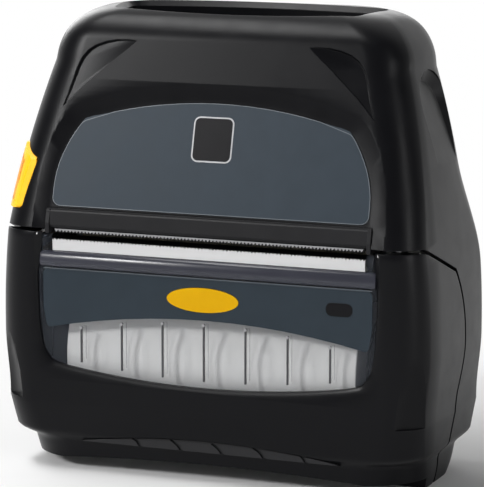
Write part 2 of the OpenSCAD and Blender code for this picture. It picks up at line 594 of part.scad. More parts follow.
module printhead_springs() color([0.7, 0.7, 0.7]) for (x = spring_x) translate([x, head_y + head_t + 3, spring_z]) rotate([-90, 0, 0])
    coil(4.4, 0.7, rail_y - (head_y + head_t + 3), 5);

// Latch: a cross shaft with a hook at each end, over the platen shaft
hook_x = [frame_x - 3, frame_x - 1];
catch_y = [platen_y + 3.8, platen_y + 5];
catch_z = platen_z + 9.5;
module hook_outline() {
    hull() { translate([latch_y, latch_z]) circle(2.9); translate([catch_y[0] - 0.9, catch_z + 2.2]) circle(1); }
    hull() { translate([catch_y[0] - 0.9, catch_z + 2.2]) circle(1); translate([catch_y[0] - 1.2, catch_z - 1.2]) circle(0.5); }
}
lever_end = [latch_y - 2, latch_z + 15];
lever_x = -frame_x - 4.4;
module latch_bar() color([0.68, 0.68, 0.7]) {
    rod_x(latch_y, latch_z, latch_d, lever_x, frame_x + frame_t + 0.3);
    both_sides() along_x(hook_x[0], hook_x[1]) hook_outline();
    along_x(lever_x, lever_x + 1.6) hull() { translate([latch_y, latch_z]) circle(4); translate(lever_end) circle(2.5); }
}
module latch_spring() color([0.7, 0.7, 0.7]) translate([frame_x - 5.5, latch_y, latch_z]) rotate([0, -90, 0]) coil(6.2, 0.7, 6, 4);
button_in = wall + 1.6;
button_x = frame_x + 1.5;
wedge_x = frame_x + 4.6;
spring_at = [latch_y - 11, latch_z + 21];
spring_seat = half_w0 - 8.1;
module release_button() color([1, 0.72, 0.05]) {
    intersection() {
        difference() { form(-0.8, 0, seam_z + 2, seam_z + 32); form(button_in, 0, seam_z + 1, seam_z + 33); }
        along_x(-half_w0 - 5, -button_x) button_outline(0);
    }
    intersection() {
        difference() { form(wall + 0.4, 0, seam_z, seam_z + 34); form(button_in, 0, seam_z - 1, seam_z + 35); }
        along_x(-half_w0 - 5, -button_x - 3) intersection() { button_outline(2); translate([front_y + 14.5, seam_z - 4]) square([30, 29.5]); }
    }
    intersection() {
        form(wall, 0, seam_z + 2, seam_z + 32);
        union() {
            translate([0, lever_end[0], lever_end[1] - 2]) linear_extrude(4)
                polygon([[-wedge_x, -2.8], [-wedge_x - 3.3, 0.1], [-half_w0, 0.1], [-half_w0, -6], [-wedge_x, -6]]);
            rod_x(spring_at[0], spring_at[1], 3, -half_w0, -wedge_x - 0.6);
        }
    }
}
module button_spring() color([0.7, 0.7, 0.7]) translate([-spring_seat, spring_at[0], spring_at[1]]) rotate([0, 90, 0])
    coil(5, 0.6, spring_seat - frame_x - frame_t, 4);

// Drive
gear_x = frame_x + frame_t + 0.9;
module spur(n, bore, hub_d, hub_t) difference() {
    union() { linear_extrude(gear_t) gear_outline(gear_m, n); if (hub_t > 0) cylinder(d = hub_d, h = gear_t + hub_t); }
    translate([0, 0, -1]) cylinder(d = bore, h = gear_t + hub_t + 2);
}
module gear_at(y, z, turn) translate([gear_x, y, z]) rotate([90, 0, 90]) rotate(turn) children();
half_idler = 180 / idler_teeth;
module platen_gear() color([0.9, 0.9, 0.88]) gear_at(platen_y, platen_z, mesh_a) spur(platen_teeth, shaft_d - 0.6, 8, 0);
module idler_gear() color([0.9, 0.9, 0.88]) difference() {
    gear_at(idler_y, idler_z, mesh_a + 180 + half_idler) spur(idler_teeth, 3 + 2 * run, 7, 0.6);
    for (a = [0:60:300]) translate([gear_x - 1, idler_y + 7.4 * cos(a), idler_z + 7.4 * sin(a)]) rotate([0, 90, 0]) cylinder(d = 4, h = 8);
}
idler_phase = mesh_a + 180 + half_idler;
pinion_turn = let (steps = (drive_a - idler_phase) / (360 / idler_teeth), frac = steps - floor(steps)) drive_a + 180 + (0.5 + frac) * 360 / pinion_teeth;
module motor_pinion() color([0.8, 0.68, 0.35]) gear_at(motor_y, motor_z, pinion_turn) spur(pinion_teeth, 2, 5, 0);
module idler_stud() color([0.75, 0.75, 0.77]) { rod_x(idler_y, idler_z, 3, frame_x, gear_x + gear_t + 0.8); rod_x(idler_y, idler_z, 5, gear_x + gear_t + 0.8, gear_x + gear_t + 1.8); }
ear_y = 13;
module motor_shaft() color([0.75, 0.75, 0.77]) rod_x(motor_y, motor_z, 2, frame_x - 4, gear_x + gear_t);
module drive_motor() color([0.55, 0.56, 0.58]) difference() {
    union() {
    rod_x(motor_y, motor_z, motor_d, frame_x - motor_l, frame_x - 2.2);
    rod_x(motor_y, motor_z, 16, frame_x - 2.2 - eps, frame_x - 1 + eps);
    rod_x(motor_y, motor_z, 8.6, frame_x - 1 - eps, frame_x + 1);
    along_x(frame_x - 1, frame_x) difference() {
        hull() { translate([motor_y, motor_z]) circle(d = motor_d - 6); for (s = [-1, 1]) translate([motor_y + s * ear_y, motor_z]) circle(d = 5); }
        for (s = [-1, 1]) translate([motor_y + s * ear_y, motor_z]) circle(d = 2.6);
    }
    }
    rod_x(motor_y, motor_z, 2 + 2 * run, frame_x - 4.2, frame_x + 2);
}

// Platen
platen_l = roll_w + 2 * platen_over;
carrier_x = [platen_l / 2 + 1, platen_l / 2 + 3.5];
shaft_left = frame_x + 3;
module platen_rubber() color([0.04, 0.04, 0.04]) difference() {
    rod_x(platen_y, platen_z, platen_d, -platen_l / 2, platen_l / 2);
    rod_x(platen_y, platen_z, shaft_d + 1, -platen_l / 2 - 1, platen_l / 2 + 1);
}
module platen_shaft() color([0.75, 0.75, 0.77]) {
    rod_x(platen_y, platen_z, shaft_d + 1, -platen_l / 2, platen_l / 2);
    rod_x(platen_y, platen_z, shaft_d, -shaft_left, gear_x - 0.2);
    rod_x(platen_y, platen_z, shaft_d - 0.6, gear_x - 0.2 - eps, gear_x + gear_t);
}
module platen_bushes() color([0.85, 0.8, 0.6]) both_sides() difference() {
    rod_x(platen_y, platen_z, bush_d, frame_x, frame_x + frame_t);
    rod_x(platen_y, platen_z, shaft_d + 2 * run, frame_x - 1, frame_x + frame_t + 1);
}
module platen_carrier() color([0.1, 0.1, 0.105]) {
    difference() {
        along_x(-carrier_x[1], carrier_x[1]) difference() {
            translate([platen_y, platen_z]) circle(platen_d / 2 + 2.2);
            translate([platen_y, platen_z]) circle(platen_d / 2 + 0.7);
            translate([platen_y, platen_z]) polygon([[0, 0], [30, -34], [30, 40], [-4.5, 40], [-4.5, 4]]);
        }
    }
    both_sides() along_x(carrier_x[1] - eps, hook_x[1]) translate([catch_y[0], catch_z - 3.5]) square([catch_y[1] - catch_y[0], 3.5]);
    both_sides() along_x(carrier_x[0], carrier_x[1]) difference() {
        union() {
            intersection() {
                union() { translate([platen_y, platen_z]) circle(platen_d / 2 + 2.2); translate([platen_y - 9.2, platen_z - 8]) square([8, 11]); }
                translate([platen_y - 20.5, platen_z - 13.5]) square([25.7, 20]);
            }
            translate([platen_y, platen_z + 2]) square([5, catch_z - platen_z - 2]);
        }
        translate([platen_y, platen_z]) circle(d = shaft_d + 2 * run);
    }
    along_x(-carrier_x[1], carrier_x[1]) translate([front_y, platen_z]) polygon([[3.4, -2], [3.4, 3.1], [5.9, 3.1], [5.9, -2]]);
}

// Window moulding and what it carries
lens_y = front_y + lens_in;
lip_z = seam_z - 13;
sill = roll_z - 6.6;
sill_r = 318;
module lens_outline(grow = 0) offset(grow) offset(5) offset(-5) let (
    right = concat([for (p = [[3, -1.4], [6.5, 3], [7.9, 12], [8.5, 28]]) [half_roll + p[0], roll_z + p[1]]],
                   [[half_roll + 6.9, seam_z - 3], [half_roll + 6.9, seam_z + 8]]))
    polygon(concat([for (i = [len(right) - 1:-1:0]) [-right[i][0], right[i][1]]],
                   arc(0, sill + sill_r, sill_r, 270 - 9.2, 270 + 9.2, 10), right));
arch_r = 262;
arch_top = roll_z + 16.4;
arch_x = half_roll + 5.5;
panel_top = seam_z - 13.7;
module lower_panel_outline(grow = 0) offset(grow) offset(1.5) offset(-1.5)
    polygon(concat([[-arch_x - 1.3, panel_top], [-arch_x - 1.3, arch_top + 0.6], [-arch_x, arch_top - 6.4]],
    arc(0, arch_top - arch_r, arch_r, 90 + 12.6, 90 - 12.6, 12), [[arch_x, arch_top - 6.4], [arch_x + 1.3, arch_top + 0.6], [arch_x + 1.3, panel_top]]));
oval = [12.9, 4.15];
oval_at = [-0.6, panel_top - 7];
module oval_outline(grow = 0) translate(oval_at) scale([1, (oval[1] + grow) / (oval[0] + grow)]) circle(oval[0] + grow);
function arch_z(x) = arch_top - arch_r + sqrt(pow(arch_r, 2) - x * x);
function sill_z(x) = sill + sill_r - sqrt(pow(sill_r, 2) - x * x);
module cover_window() color([0.2, 0.22, 0.26, 0.5]) difference() {
    union() {
        along_y(lens_y, lens_y + lens_t) intersection() { lens_outline(); translate([-half_w0, sill - 5]) square([body_w, lip_z + 5.6 - sill]); }
        along_x(-half_roll - 6.9, half_roll + 6.9) translate([front_y, lip_z])
            polygon([[lens_in, 0], [lens_in - 0.7, 0.6], [lens_in - 0.7, 2], [2.9, 5.6], [3.4, 5.6], [3.4, 0]]);
        both_sides() along_x(half_roll + 4.9, half_roll + 7.1) translate([front_y, lip_z])
            polygon([[lens_in, 0], [lens_in, 11.2], [4.5, 11.2], [4.5, 7], [3.4, 5], [3.4, 0]]);
        for (i = [-(rib_n - 1) / 2:(rib_n - 1) / 2]) let (x = i * rib_pitch) along_y(lens_y + lens_t - eps, lens_y + lens_t + 0.8)
            translate([x - 0.4, sill_z(x) + 2.6]) square([0.8, arch_z(x) - 1.6 - sill_z(x) - 2.6]);
    }
    along_y(lens_y - 1, lens_y + film_t) lower_panel_outline(0.1);
}
module lower_panel() color([0.22, 0.25, 0.28]) along_y(lens_y, lens_y + film_t) difference() { lower_panel_outline(); oval_outline(0.15); }
module oval_inlay() color([0.87, 0.67, 0]) along_y(lens_y - 0.15, lens_y + film_t) oval_outline();
module lower_tear_bar() color([0.8, 0.8, 0.82]) {
    along_y(front_y + 2.5, front_y + 3.3) translate([0, seam_z - 7.2]) tear_edge(tear_w + 0.6, 3, 0.8, tear_pitch);
    along_x(-tear_w / 2 - 0.3, tear_w / 2 + 0.3) translate([front_y, seam_z]) polygon([[2.5, -7.4], [2.5, -5.8], [3.3, -5.8], [5.9, -6.6], [5.9, -7.4]]);
}

// Cover shell
tread_x = half_roll - 5.5;
tread_pitch = 15;
tread_n = 5;
cap_t = 1.6;
module cover_shell() color([0.05, 0.05, 0.055]) {
    difference() {
        union() {
            difference() {
                form(0, 0, 0, seam_z + 2);
                form(wall, wall, wall, seam_z + 3);
                along_y(front_y - 1, front_y + 12) lens_outline(gap);
                along_y(front_y - 1, front_y + 12) translate([-half_roll - 7.5, lip_z - 1]) square([roll_w + 15, 20]);
                tread_undercut();
                thumb_scoops();
            }
            intersection() {
                form(0, 0, 0, seam_z + 2);
                union() {
                    along_y(lens_y + lens_t, lens_y + lens_t + 1.6) difference() { lens_outline(3); lens_outline(-1.6); translate([-half_w0, lip_z - 5]) square([body_w, 30]); }
                    both_sides() translate([half_roll + 8.7, front_y - 6.5, seam_z - seam_gap / 2 - cap_t]) cube([20, 23, cap_t + 1]);
                    along_y(front_y, front_y + 6) intersection() {
                        difference() { lens_outline(gap + 1.6); lens_outline(gap); }
                        both_sides() translate([half_roll + 3.5, lip_z - 5]) square([12, 18]);
                    }
                }
            }
            intersection() { form(0, 0, 0, seam_z); translate([-tread_x, front_y - 6.5, 1.2]) cube([2 * tread_x, 20.5, 8.8]); }
            difference() { cover_knuckles(); translate([-100, -100, -10]) cube([200, 200, 10]); }
        }
        difference() { translate([-100, -60, -10]) cube([200, 120, 120]); cover_zone(-seam_gap / 2); }
        both_sides() along_x(lug_x - side_gap, lug_x + lug_t + side_gap) translate([hinge_y - 6.6, -5]) square([40, 22]);
        both_sides() rod_x(hinge_y, hinge_z, hinge_pin_d + 2 * run, lug_x - knuckle_t - side_gap - 2, lug_x + lug_t + knuckle_t + side_gap + 2);
        tread_undercut();
    }
}
module tread_undercut() {
    translate([0, front_y - 2, 0]) {
        translate([-tread_x, 0, -1]) cube([2 * tread_x, 10.5, 10.6]);
        translate([-tread_x - 2, 0, -1]) cube([2 * tread_x + 4, 14, 3.4]);
    }
    for (i = [-(tread_n - 1) / 2:(tread_n - 1) / 2]) translate([i * tread_pitch, front_y + 1, 10.5]) rotate([0, -38, 0]) cube([1, 6, 7], center = true);
}
module hinge_pins() color([0.75, 0.75, 0.77]) both_sides() rod_x(hinge_y, hinge_z, hinge_pin_d, lug_x - side_gap - knuckle_t + 0.5, lug_x + lug_t + side_gap + knuckle_t - 0.5);

// Label roll on two sliding arms
module label_roll() color([0.93, 0.93, 0.92]) difference() {
    rod_x(roll_y, roll_z, roll_d, -roll_w / 2, roll_w / 2);
    rod_x(roll_y, roll_z, core_d, -roll_w / 2 - 1, roll_w / 2 + 1);
}
module roll_core() color([0.6, 0.48, 0.34]) difference() {
    rod_x(roll_y, roll_z, core_d, -roll_w / 2, roll_w / 2);
    rod_x(roll_y, roll_z, core_bore, -roll_w / 2 - 1, roll_w / 2 + 1);
}
disk_gap = 0.4;
disk_t = 1.2;
arm_x = roll_w / 2 + disk_gap + disk_t + 0.4;
arm_t = 2;
axle_d = 4;
module media_disk() {
    difference() {
        union() {
            rod_x(roll_y, roll_z, 36, roll_w / 2 + disk_gap, roll_w / 2 + disk_gap + disk_t);
            rod_x(roll_y, roll_z, core_bore - 0.4, roll_w / 2 - 3.2, roll_w / 2 + disk_gap + eps);
        }
        rod_x(roll_y, roll_z, axle_d + 2 * run, roll_w / 2 - 5, roll_w / 2 + 5);
        for (a = [0:60:300]) translate([roll_w / 2, roll_y + 13.5 * cos(a), roll_z + 13.5 * sin(a)]) rotate([0, 90, 0]) cylinder(d = 5, h = 5);
    }
}
rack_m = 1;
rack_teeth = 10;
rack_z = [4.6, 7.6];
rack_back = 2.2;
module rack_outline(x0, x1) {
    r = rack_m * rack_teeth / 2 + 0.12;
    translate([x0, r + 1.2]) square([x1 - x0, rack_back]);
    for (i = [-2:2]) translate([i * PI * rack_m, r]) polygon([[-1.05, 1.21], [-0.62, 0], [-0.3, -0.9], [0.3, -0.9], [0.62, 0], [1.05, 1.21]]);
}
module media_arm() {
    along_x(arm_x, arm_x + arm_t) hull() { translate([roll_y, roll_z]) circle(8); translate([rod_y, rod_z]) circle(5); }
    rod_x(roll_y, roll_z, axle_d, roll_w / 2 - 3, arm_x + eps);
    rod_x(rod_y, rod_z, 8, arm_x - 5, arm_x + arm_t + 0.2);
}
module arm_bore() rod_x(rod_y, rod_z, rod_d + 2 * run, half_roll - 12.5, frame_x + 8);
module arm_rack(side) {
    translate([0, rod_y, rack_z[0]]) linear_extrude(rack_z[1] - rack_z[0]) mirror([0, side > 0 ? 0 : 1, 0]) rack_outline(-9, arm_x + arm_t);
    translate([arm_x, rod_y - (side > 0 ? 5 : 9.5), rack_z[0]]) cube([arm_t, 13.5, 4]);
}
module media_arm_right() color([0.12, 0.12, 0.13]) difference() { union() { media_arm(); arm_rack(1); } arm_bore(); }
module media_arm_left() color([0.12, 0.12, 0.13]) mirror([1, 0, 0]) difference() { union() { media_arm(); arm_rack(-1); } arm_bore(); }
module media_disk_right() color([0.15, 0.15, 0.16]) media_disk();
module media_disk_left() color([0.15, 0.15, 0.16]) mirror([1, 0, 0]) media_disk();
module arm_rod() color([0.75, 0.75, 0.77]) rod_x(rod_y, rod_z, rod_d, -frame_x - frame_t, frame_x + frame_t);
module arm_pinion() color([0.9, 0.9, 0.88]) difference() {
    translate([0, rod_y, rack_z[0]]) rotate(360 / rack_teeth / 2 + 90) linear_extrude(3) gear_outline(rack_m, rack_teeth);
    translate([0, rod_y, 0]) cylinder(d = 3 + 2 * run, h = 12);
}

// Battery
module battery_pack() color([0.07, 0.07, 0.075]) difference() {
    union() {
        along_y(battery_front, back_y - 1.2) translate([0, battery_z + battery_h / 2]) rounded(battery_w, battery_h, 3);
        along_y(back_y - 1.3, back_y) translate([0, battery_z + battery_h / 2]) rounded(battery_w - 0.6, battery_h - 0.6, 3);
    }
    for (z = [-6, 0, 6]) along_y(back_y - 0.6, back_y + 1) translate([0, battery_z + battery_h / 2 + z]) rounded(30, 2.4, 1.1);
}
bay_face = battery_front - bay_clear - bay_wall;
module battery_connector() color([0.1, 0.1, 0.1]) difference() {
    along_y(bay_face - 4.5, bay_face) translate([contact_x + 10, battery_z + 6]) square([26, 9], center = true);
    for (i = [0:4]) translate([contact_x + i * 5 - 1, bay_face - 3, battery_z + 3]) cube([2, 5, 6]);
}
module battery_contacts() color([0.85, 0.7, 0.3]) for (i = [0:4]) translate([contact_x + i * 5 - 1, bay_face - 3, battery_z + 3]) cube([2, bay_clear + bay_wall + 2.8, 6]);

module screw(d, h, head_d, head_h) { cylinder(d = head_d, h = head_h); translate([0, 0, head_h - eps]) cylinder(d = d, h = h); }
module back_screws() color([0.3, 0.3, 0.32]) for (p = plate_screws) translate([p[0], back_y - 0.1, p[1]]) rotate([90, 0, 0]) difference() {
    screw(2.5, 5, 5.4, 0.68);
    translate([0, 0, -0.1]) cylinder(d = 2.2, h = 0.6, $fn = 6);
}
module frame_screws() {
    both_sides() for (p = plate_fix) translate([frame_x - 1, p[0], p[1]]) rotate([0, 90, 0]) screw(2.6, 6, 5, 1);
    for (s = [-1, 1]) translate([frame_x - 2, motor_y + s * ear_y, motor_z]) rotate([0, 90, 0]) screw(2.6, 1 + frame_t, 4.4, 1);
}
module board_screws() {
    for (p = board_posts) translate([p[0], main_y + 2.8, p[1]]) rotate([90, 0, 0]) screw(2.4, 6, 4.6, 1.2);
    for (s = [-1, 1]) translate([port_x, io_y + s * io_hole, port_z - 7]) rotate([0, 90, 0]) screw(2, 3.4, 3.6, 1);
}
module inner_screws() color([0.3, 0.3, 0.32]) {
    frame_screws();
    board_screws();
}

housing_shell();
back_plate();
upper_panel();
exit_bar();
upper_tear_bar();
control_plate();
display_module();
display_lens();
keypad_board();
main_board();
io_board();
port_sockets();
port_door();
bay_liner();
side_plate_right();
side_plate_left();
spring_rail();
printhead_bracket();
printhead();
printhead_pivot_rod();
printhead_springs();
latch_bar();
latch_spring();
release_button();
button_spring();
drive_motor();
motor_shaft();
motor_pinion();
idler_gear();
idler_stud();
platen_rubber();
platen_shaft();
platen_gear();
platen_bushes();
platen_carrier();
cover_shell();
cover_window();
lower_panel();
oval_inlay();
lower_tear_bar();
hinge_pins();
label_roll();
roll_core();
media_arm_right();
media_arm_left();
media_disk_right();
media_disk_left();
arm_rod();
arm_pinion();
battery_pack();
battery_connector();
battery_contacts();
power_key();
feed_key();
soft_key_left();
soft_key_right();
nav_ring();
select_key();
back_screws();
inner_screws();
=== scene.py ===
"""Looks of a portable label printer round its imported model. X runs across, -Y is the front and Z is up."""
import json
import math

import bmesh
import bpy
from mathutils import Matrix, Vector

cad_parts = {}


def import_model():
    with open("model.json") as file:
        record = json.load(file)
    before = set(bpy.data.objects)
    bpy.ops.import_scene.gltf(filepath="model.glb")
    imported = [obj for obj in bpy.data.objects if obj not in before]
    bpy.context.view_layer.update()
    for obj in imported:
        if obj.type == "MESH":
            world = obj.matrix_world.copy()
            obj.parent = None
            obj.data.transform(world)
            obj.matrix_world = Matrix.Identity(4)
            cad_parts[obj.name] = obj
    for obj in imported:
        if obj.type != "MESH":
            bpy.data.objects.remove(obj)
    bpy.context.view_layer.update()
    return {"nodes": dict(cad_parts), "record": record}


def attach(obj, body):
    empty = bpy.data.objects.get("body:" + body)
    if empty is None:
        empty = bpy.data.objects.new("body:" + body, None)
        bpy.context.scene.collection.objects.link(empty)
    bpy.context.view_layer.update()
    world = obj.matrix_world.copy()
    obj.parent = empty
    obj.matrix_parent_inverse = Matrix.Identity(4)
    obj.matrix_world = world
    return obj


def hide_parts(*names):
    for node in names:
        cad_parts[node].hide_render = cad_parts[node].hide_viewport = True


MM = 0.001
PI = math.pi


def reset():
    bpy.ops.wm.read_factory_settings(use_empty=True)


def node(nt, kind, values=None):
    """New shader node with the given inputs set."""
    n = nt.nodes.new("ShaderNode" + kind)
    for name, value in (values or {}).items():
        n.inputs[name].default_value = value
    return n


# materials
MATS = {}
COAT_ROUGH = 0.1
UNEVEN_SCALE, UNEVEN_DETAIL = 130.0, 5
UNEVEN_LOW, UNEVEN_HIGH = 0.3, 0.7
GRAIN_DETAIL, GRAIN_DEPTH = 3, 0.00012
EDGE_SAMPLES = 6
GLOSSIEST = 0.02


def material(name, color, rough=0.4, metallic=0.0, specular=0.5, coat=0.0, alpha=1.0, bump=0.08,
             bump_scale=1500.0, stretch=(1, 1, 1), edge=0.0, mottle=0.03, tone=0.05):
    """Principled material with fine relief, uneven gloss and a slight change of tone, all in object space."""
    m = bpy.data.materials.new(name)
    m.use_nodes = True
    m.diffuse_color = (*color, alpha)
    nt = m.node_tree
    b = nt.nodes["Principled BSDF"]
    b.inputs["Metallic"].default_value = metallic
    b.inputs["Specular IOR Level"].default_value = specular
    b.inputs["Coat Weight"].default_value = coat
    b.inputs["Coat Roughness"].default_value = COAT_ROUGH
    b.inputs["Alpha"].default_value = alpha
    coord = node(nt, "TexCoord")
    place = node(nt, "Mapping", {"Scale": stretch})
    nt.links.new(coord.outputs["Object"], place.inputs["Vector"])
    coarse = node(nt, "TexNoise", {"Scale": UNEVEN_SCALE, "Detail": UNEVEN_DETAIL})
    nt.links.new(place.outputs["Vector"], coarse.inputs["Vector"])
    gloss = node(nt, "MapRange", {"From Min": UNEVEN_LOW, "From Max": UNEVEN_HIGH,
                                  "To Min": max(GLOSSIEST, rough - mottle), "To Max": rough + mottle})
    nt.links.new(coarse.outputs["Fac"], gloss.inputs["Value"])
    nt.links.new(gloss.outputs["Result"], b.inputs["Roughness"])
    ramp = node(nt, "ValToRGB")
    dark, light = ramp.color_ramp.elements
    dark.position = UNEVEN_LOW
    dark.color = (*[c * (1 - tone) for c in color], 1)
    light.position = UNEVEN_HIGH
    light.color = (*[min(1.0, c * (1 + tone)) for c in color], 1)
    nt.links.new(coarse.outputs["Fac"], ramp.inputs["Fac"])
    nt.links.new(ramp.outputs["Color"], b.inputs["Base Color"])
    grain = node(nt, "TexNoise", {"Scale": bump_scale, "Detail": GRAIN_DETAIL})
    nt.links.new(place.outputs["Vector"], grain.inputs["Vector"])
    relief = node(nt, "Bump", {"Strength": bump, "Distance": GRAIN_DEPTH})
    nt.links.new(grain.outputs["Fac"], relief.inputs["Height"])
    if edge > 0:
        soft = node(nt, "Bevel", {"Radius": edge * MM})
        soft.samples = EDGE_SAMPLES
        nt.links.new(soft.outputs["Normal"], relief.inputs["Normal"])
    nt.links.new(relief.outputs["Normal"], b.inputs["Normal"])
    MATS[name] = m


def palette():
    # moulded plastics and films of the case
    material("body_black", (0.0032, 0.0033, 0.0042), 0.33, specular=0.13, bump=0.14, bump_scale=2600,
             edge=0.35)
    material("inner_black", (0.006, 0.006, 0.0065), 0.45, specular=0.15, bump=0.1, edge=0.2)
    material("bar_black", (0.014, 0.014, 0.0152), 0.4, specular=0.14, bump=0.12, bump_scale=2600,
             edge=0.25)
    # darker, duller black of the control plate in the top well: painted shade of the recess
    material("well_painted_shade", (0.002, 0.002, 0.0023), 0.5, specular=0.1, bump=0.1)
    material("panel_slate", (0.026, 0.036, 0.047), 0.4, specular=0.14, bump=0.1, bump_scale=3200)
    material("panel_slate_low", (0.022, 0.031, 0.04), 0.4, specular=0.14, bump=0.1, bump_scale=3200)
    material("film_edge", (0.11, 0.125, 0.14), 0.3, specular=0.3, bump=0.03)
    material("window_smoke", (0.085, 0.095, 0.115), 0.06, specular=0.3, alpha=0.15, bump=0.01,
             bump_scale=300, mottle=0.02)
    material("lip_smoke", (0.03, 0.031, 0.042), 0.24, specular=0.32, coat=0.06, bump=0.03,
             bump_scale=600)
    material("display_glass", (0.02, 0.025, 0.03), 0.08, bump=0.01, mottle=0.02)
    material("display_cell", (0.28, 0.31, 0.26), 0.3, bump=0.03)
    material("plaque_yellow", (0.6, 0.325, 0.0), 0.38, specular=0.1, bump=0.06, tone=0.03)
    material("button_orange", (1.0, 0.5, 0.006), 0.34, specular=0.25, bump=0.08, tone=0.03)
    # darker orange of the button's recessed face: painted shade of the recess on the one orange part
    material("button_face_painted_shade", (0.84, 0.29, 0.0), 0.38, specular=0.2, bump=0.1, tone=0.04)
    # metals, the tear bars brushed along their length
    material("tear_steel", (0.63, 0.63, 0.635), 0.34, metallic=0.5, bump=0.16, stretch=(0.04, 1, 1),
             tone=0.08)
    # light grey of the upper teeth and the badge line; on the tips of the window ribs it is a painted
    # highlight
    material("tooth_light_and_tip_highlight", (0.3, 0.3, 0.31), 0.35, metallic=0.3, bump=0.05)
    material("frame_steel", (0.5, 0.51, 0.53), 0.35, metallic=1.0, bump=0.1, stretch=(1, 0.06, 1),
             edge=0.15)
    material("spring_steel", (0.55, 0.55, 0.56), 0.25, metallic=1.0, bump=0.04)
    material("screw_black", (0.03, 0.03, 0.032), 0.35, metallic=0.6, bump=0.06)
    # rubbers, gears, boards and paper
    material("platen_rubber", (0.012, 0.012, 0.012), 0.55, bump=0.2, bump_scale=900)
    material("soft_rubber", (0.008, 0.008, 0.009), 0.5, specular=0.2, bump=0.16, bump_scale=1200,
             edge=0.3)
    material("gear_white", (0.72, 0.72, 0.69), 0.4, bump=0.05, edge=0.12)
    material("gear_brass", (0.72, 0.5, 0.2), 0.25, metallic=1.0, bump=0.06)
    material("bush_tan", (0.42, 0.32, 0.18), 0.4, bump=0.12)
    material("board_green", (0.015, 0.1, 0.04), 0.35, coat=0.3, bump=0.14, bump_scale=500, tone=0.2)
    material("can_steel", (0.55, 0.55, 0.57), 0.3, metallic=1.0, bump=0.06, edge=0.2)
    material("contact_gold", (0.85, 0.62, 0.22), 0.22, metallic=1.0, bump=0.03)
    material("head_ceramic", (0.5, 0.44, 0.34), 0.18, coat=0.5, bump=0.03)
    material("head_alloy", (0.6, 0.61, 0.63), 0.35, metallic=1.0, bump=0.14, edge=0.2)
    material("label_paper", (0.84, 0.84, 0.835), 0.6, specular=0.2, bump=0.1, bump_scale=700,
             tone=0.015)
    material("core_board", (0.36, 0.25, 0.14), 0.7, bump=0.4, bump_scale=500, stretch=(0.2, 1, 1),
             tone=0.12)
    material("key_grey", (0.05, 0.05, 0.055), 0.5, bump=0.12, edge=0.35)
    material("badge_black", (0.005, 0.005, 0.006), 0.34, specular=0.12, bump=0.05)
    # dark grey of the window ribs: painted shade standing in for clear ribs
    material("rib_painted_shade", (0.05, 0.05, 0.055), 0.3, specular=0.3, bump=0.04)
    # rubber of the chin tread; its grey, lighter than the body, is a painted highlight along the band
    material("tread_rubber_painted_highlight", (0.012, 0.012, 0.0135), 0.5, specular=0.3, bump=0.2, bump_scale=1400,
             edge=0.3)


# mesh helpers; all points are in mm until obj_from turns them into metres
SMOOTH = 30.0
MERGE = 1e-7


def finish_mesh(o, smooth):
    """Merges doubled points, turns the faces outwards and shades edges under the angle smooth."""
    me = o.data
    bm = bmesh.new()
    bm.from_mesh(me)
    bmesh.ops.remove_doubles(bm, verts=bm.verts, dist=MERGE)
    bmesh.ops.recalc_face_normals(bm, faces=bm.faces)
    bm.to_mesh(me)
    bm.free()
    if smooth:
        me.shade_smooth()
        me.set_sharp_from_angle(angle=math.radians(smooth))


def obj_from(name, verts, faces, mat, smooth=SMOOTH):
    me = bpy.data.meshes.new(name)
    me.from_pydata([(v[0] * MM, v[1] * MM, v[2] * MM) for v in verts], [], faces)
    me.validate()
    o = bpy.data.objects.new(name, me)
    bpy.context.scene.collection.objects.link(o)
    if mat:
        me.materials.append(MATS[mat])
    finish_mesh(o, smooth)
    return o


def loft(name, rings, mat, smooth=SMOOTH):
    """Closed body through rings of as many points, with flat ends."""
    n = len(rings[0])
    verts = [p for r in rings for p in r]
    faces = []
    for i in range(len(rings) - 1):
        for j in range(n):
            k = (j + 1) % n
            faces.append((i * n + j, i * n + k, (i + 1) * n + k, (i + 1) * n + j))
    faces.append(tuple(range(n - 1, -1, -1)))
    faces.append(tuple((len(rings) - 1) * n + j for j in range(n)))
    return obj_from(name, verts, faces, mat, smooth)


def taper(name, out0, out1, place, d0, d1, mat, smooth=SMOOTH):
    """Body from one 2D outline to another; place(u, v, d) gives the 3D point."""
    ends = [[place(u, v, d) for u, v in outline] for outline, d in ((out0, d0), (out1, d1))]
    return loft(name, ends, mat, smooth)


def prism(name, outline, place, d0, d1, mat, smooth=SMOOTH):
    return taper(name, outline, outline, place, d0, d1, mat, smooth)


def at_x(u, v, d):
    return (d, u, v)


def at_y(u, v, d):
    return (u, d, v)


def at_z(u, v, d):
    return (u, v, d)


def drop(o):
    me = o.data
    bpy.data.objects.remove(o)
    if me.users == 0:
        bpy.data.meshes.remove(me)


def set_mesh(o, me):
    """Gives an object another mesh and removes the old one."""
    old = o.data
    o.data = me
    if old.users == 0:
        bpy.data.meshes.remove(old)


def boolean(o, cutters, op="DIFFERENCE", keep=False):
    for c in cutters:
        m = o.modifiers.new("boolean", "BOOLEAN")
        m.operation = op
        m.solver = "MANIFOLD"
        m.object = c
        dg = bpy.context.evaluated_depsgraph_get()
        me = bpy.data.meshes.new_from_object(o.evaluated_get(dg))
        o.modifiers.remove(m)
        if len(me.polygons) < 4:
            print("boolean failed", o.name, c.name)
            continue
        set_mesh(o, me)
        if not keep:
            drop(c)


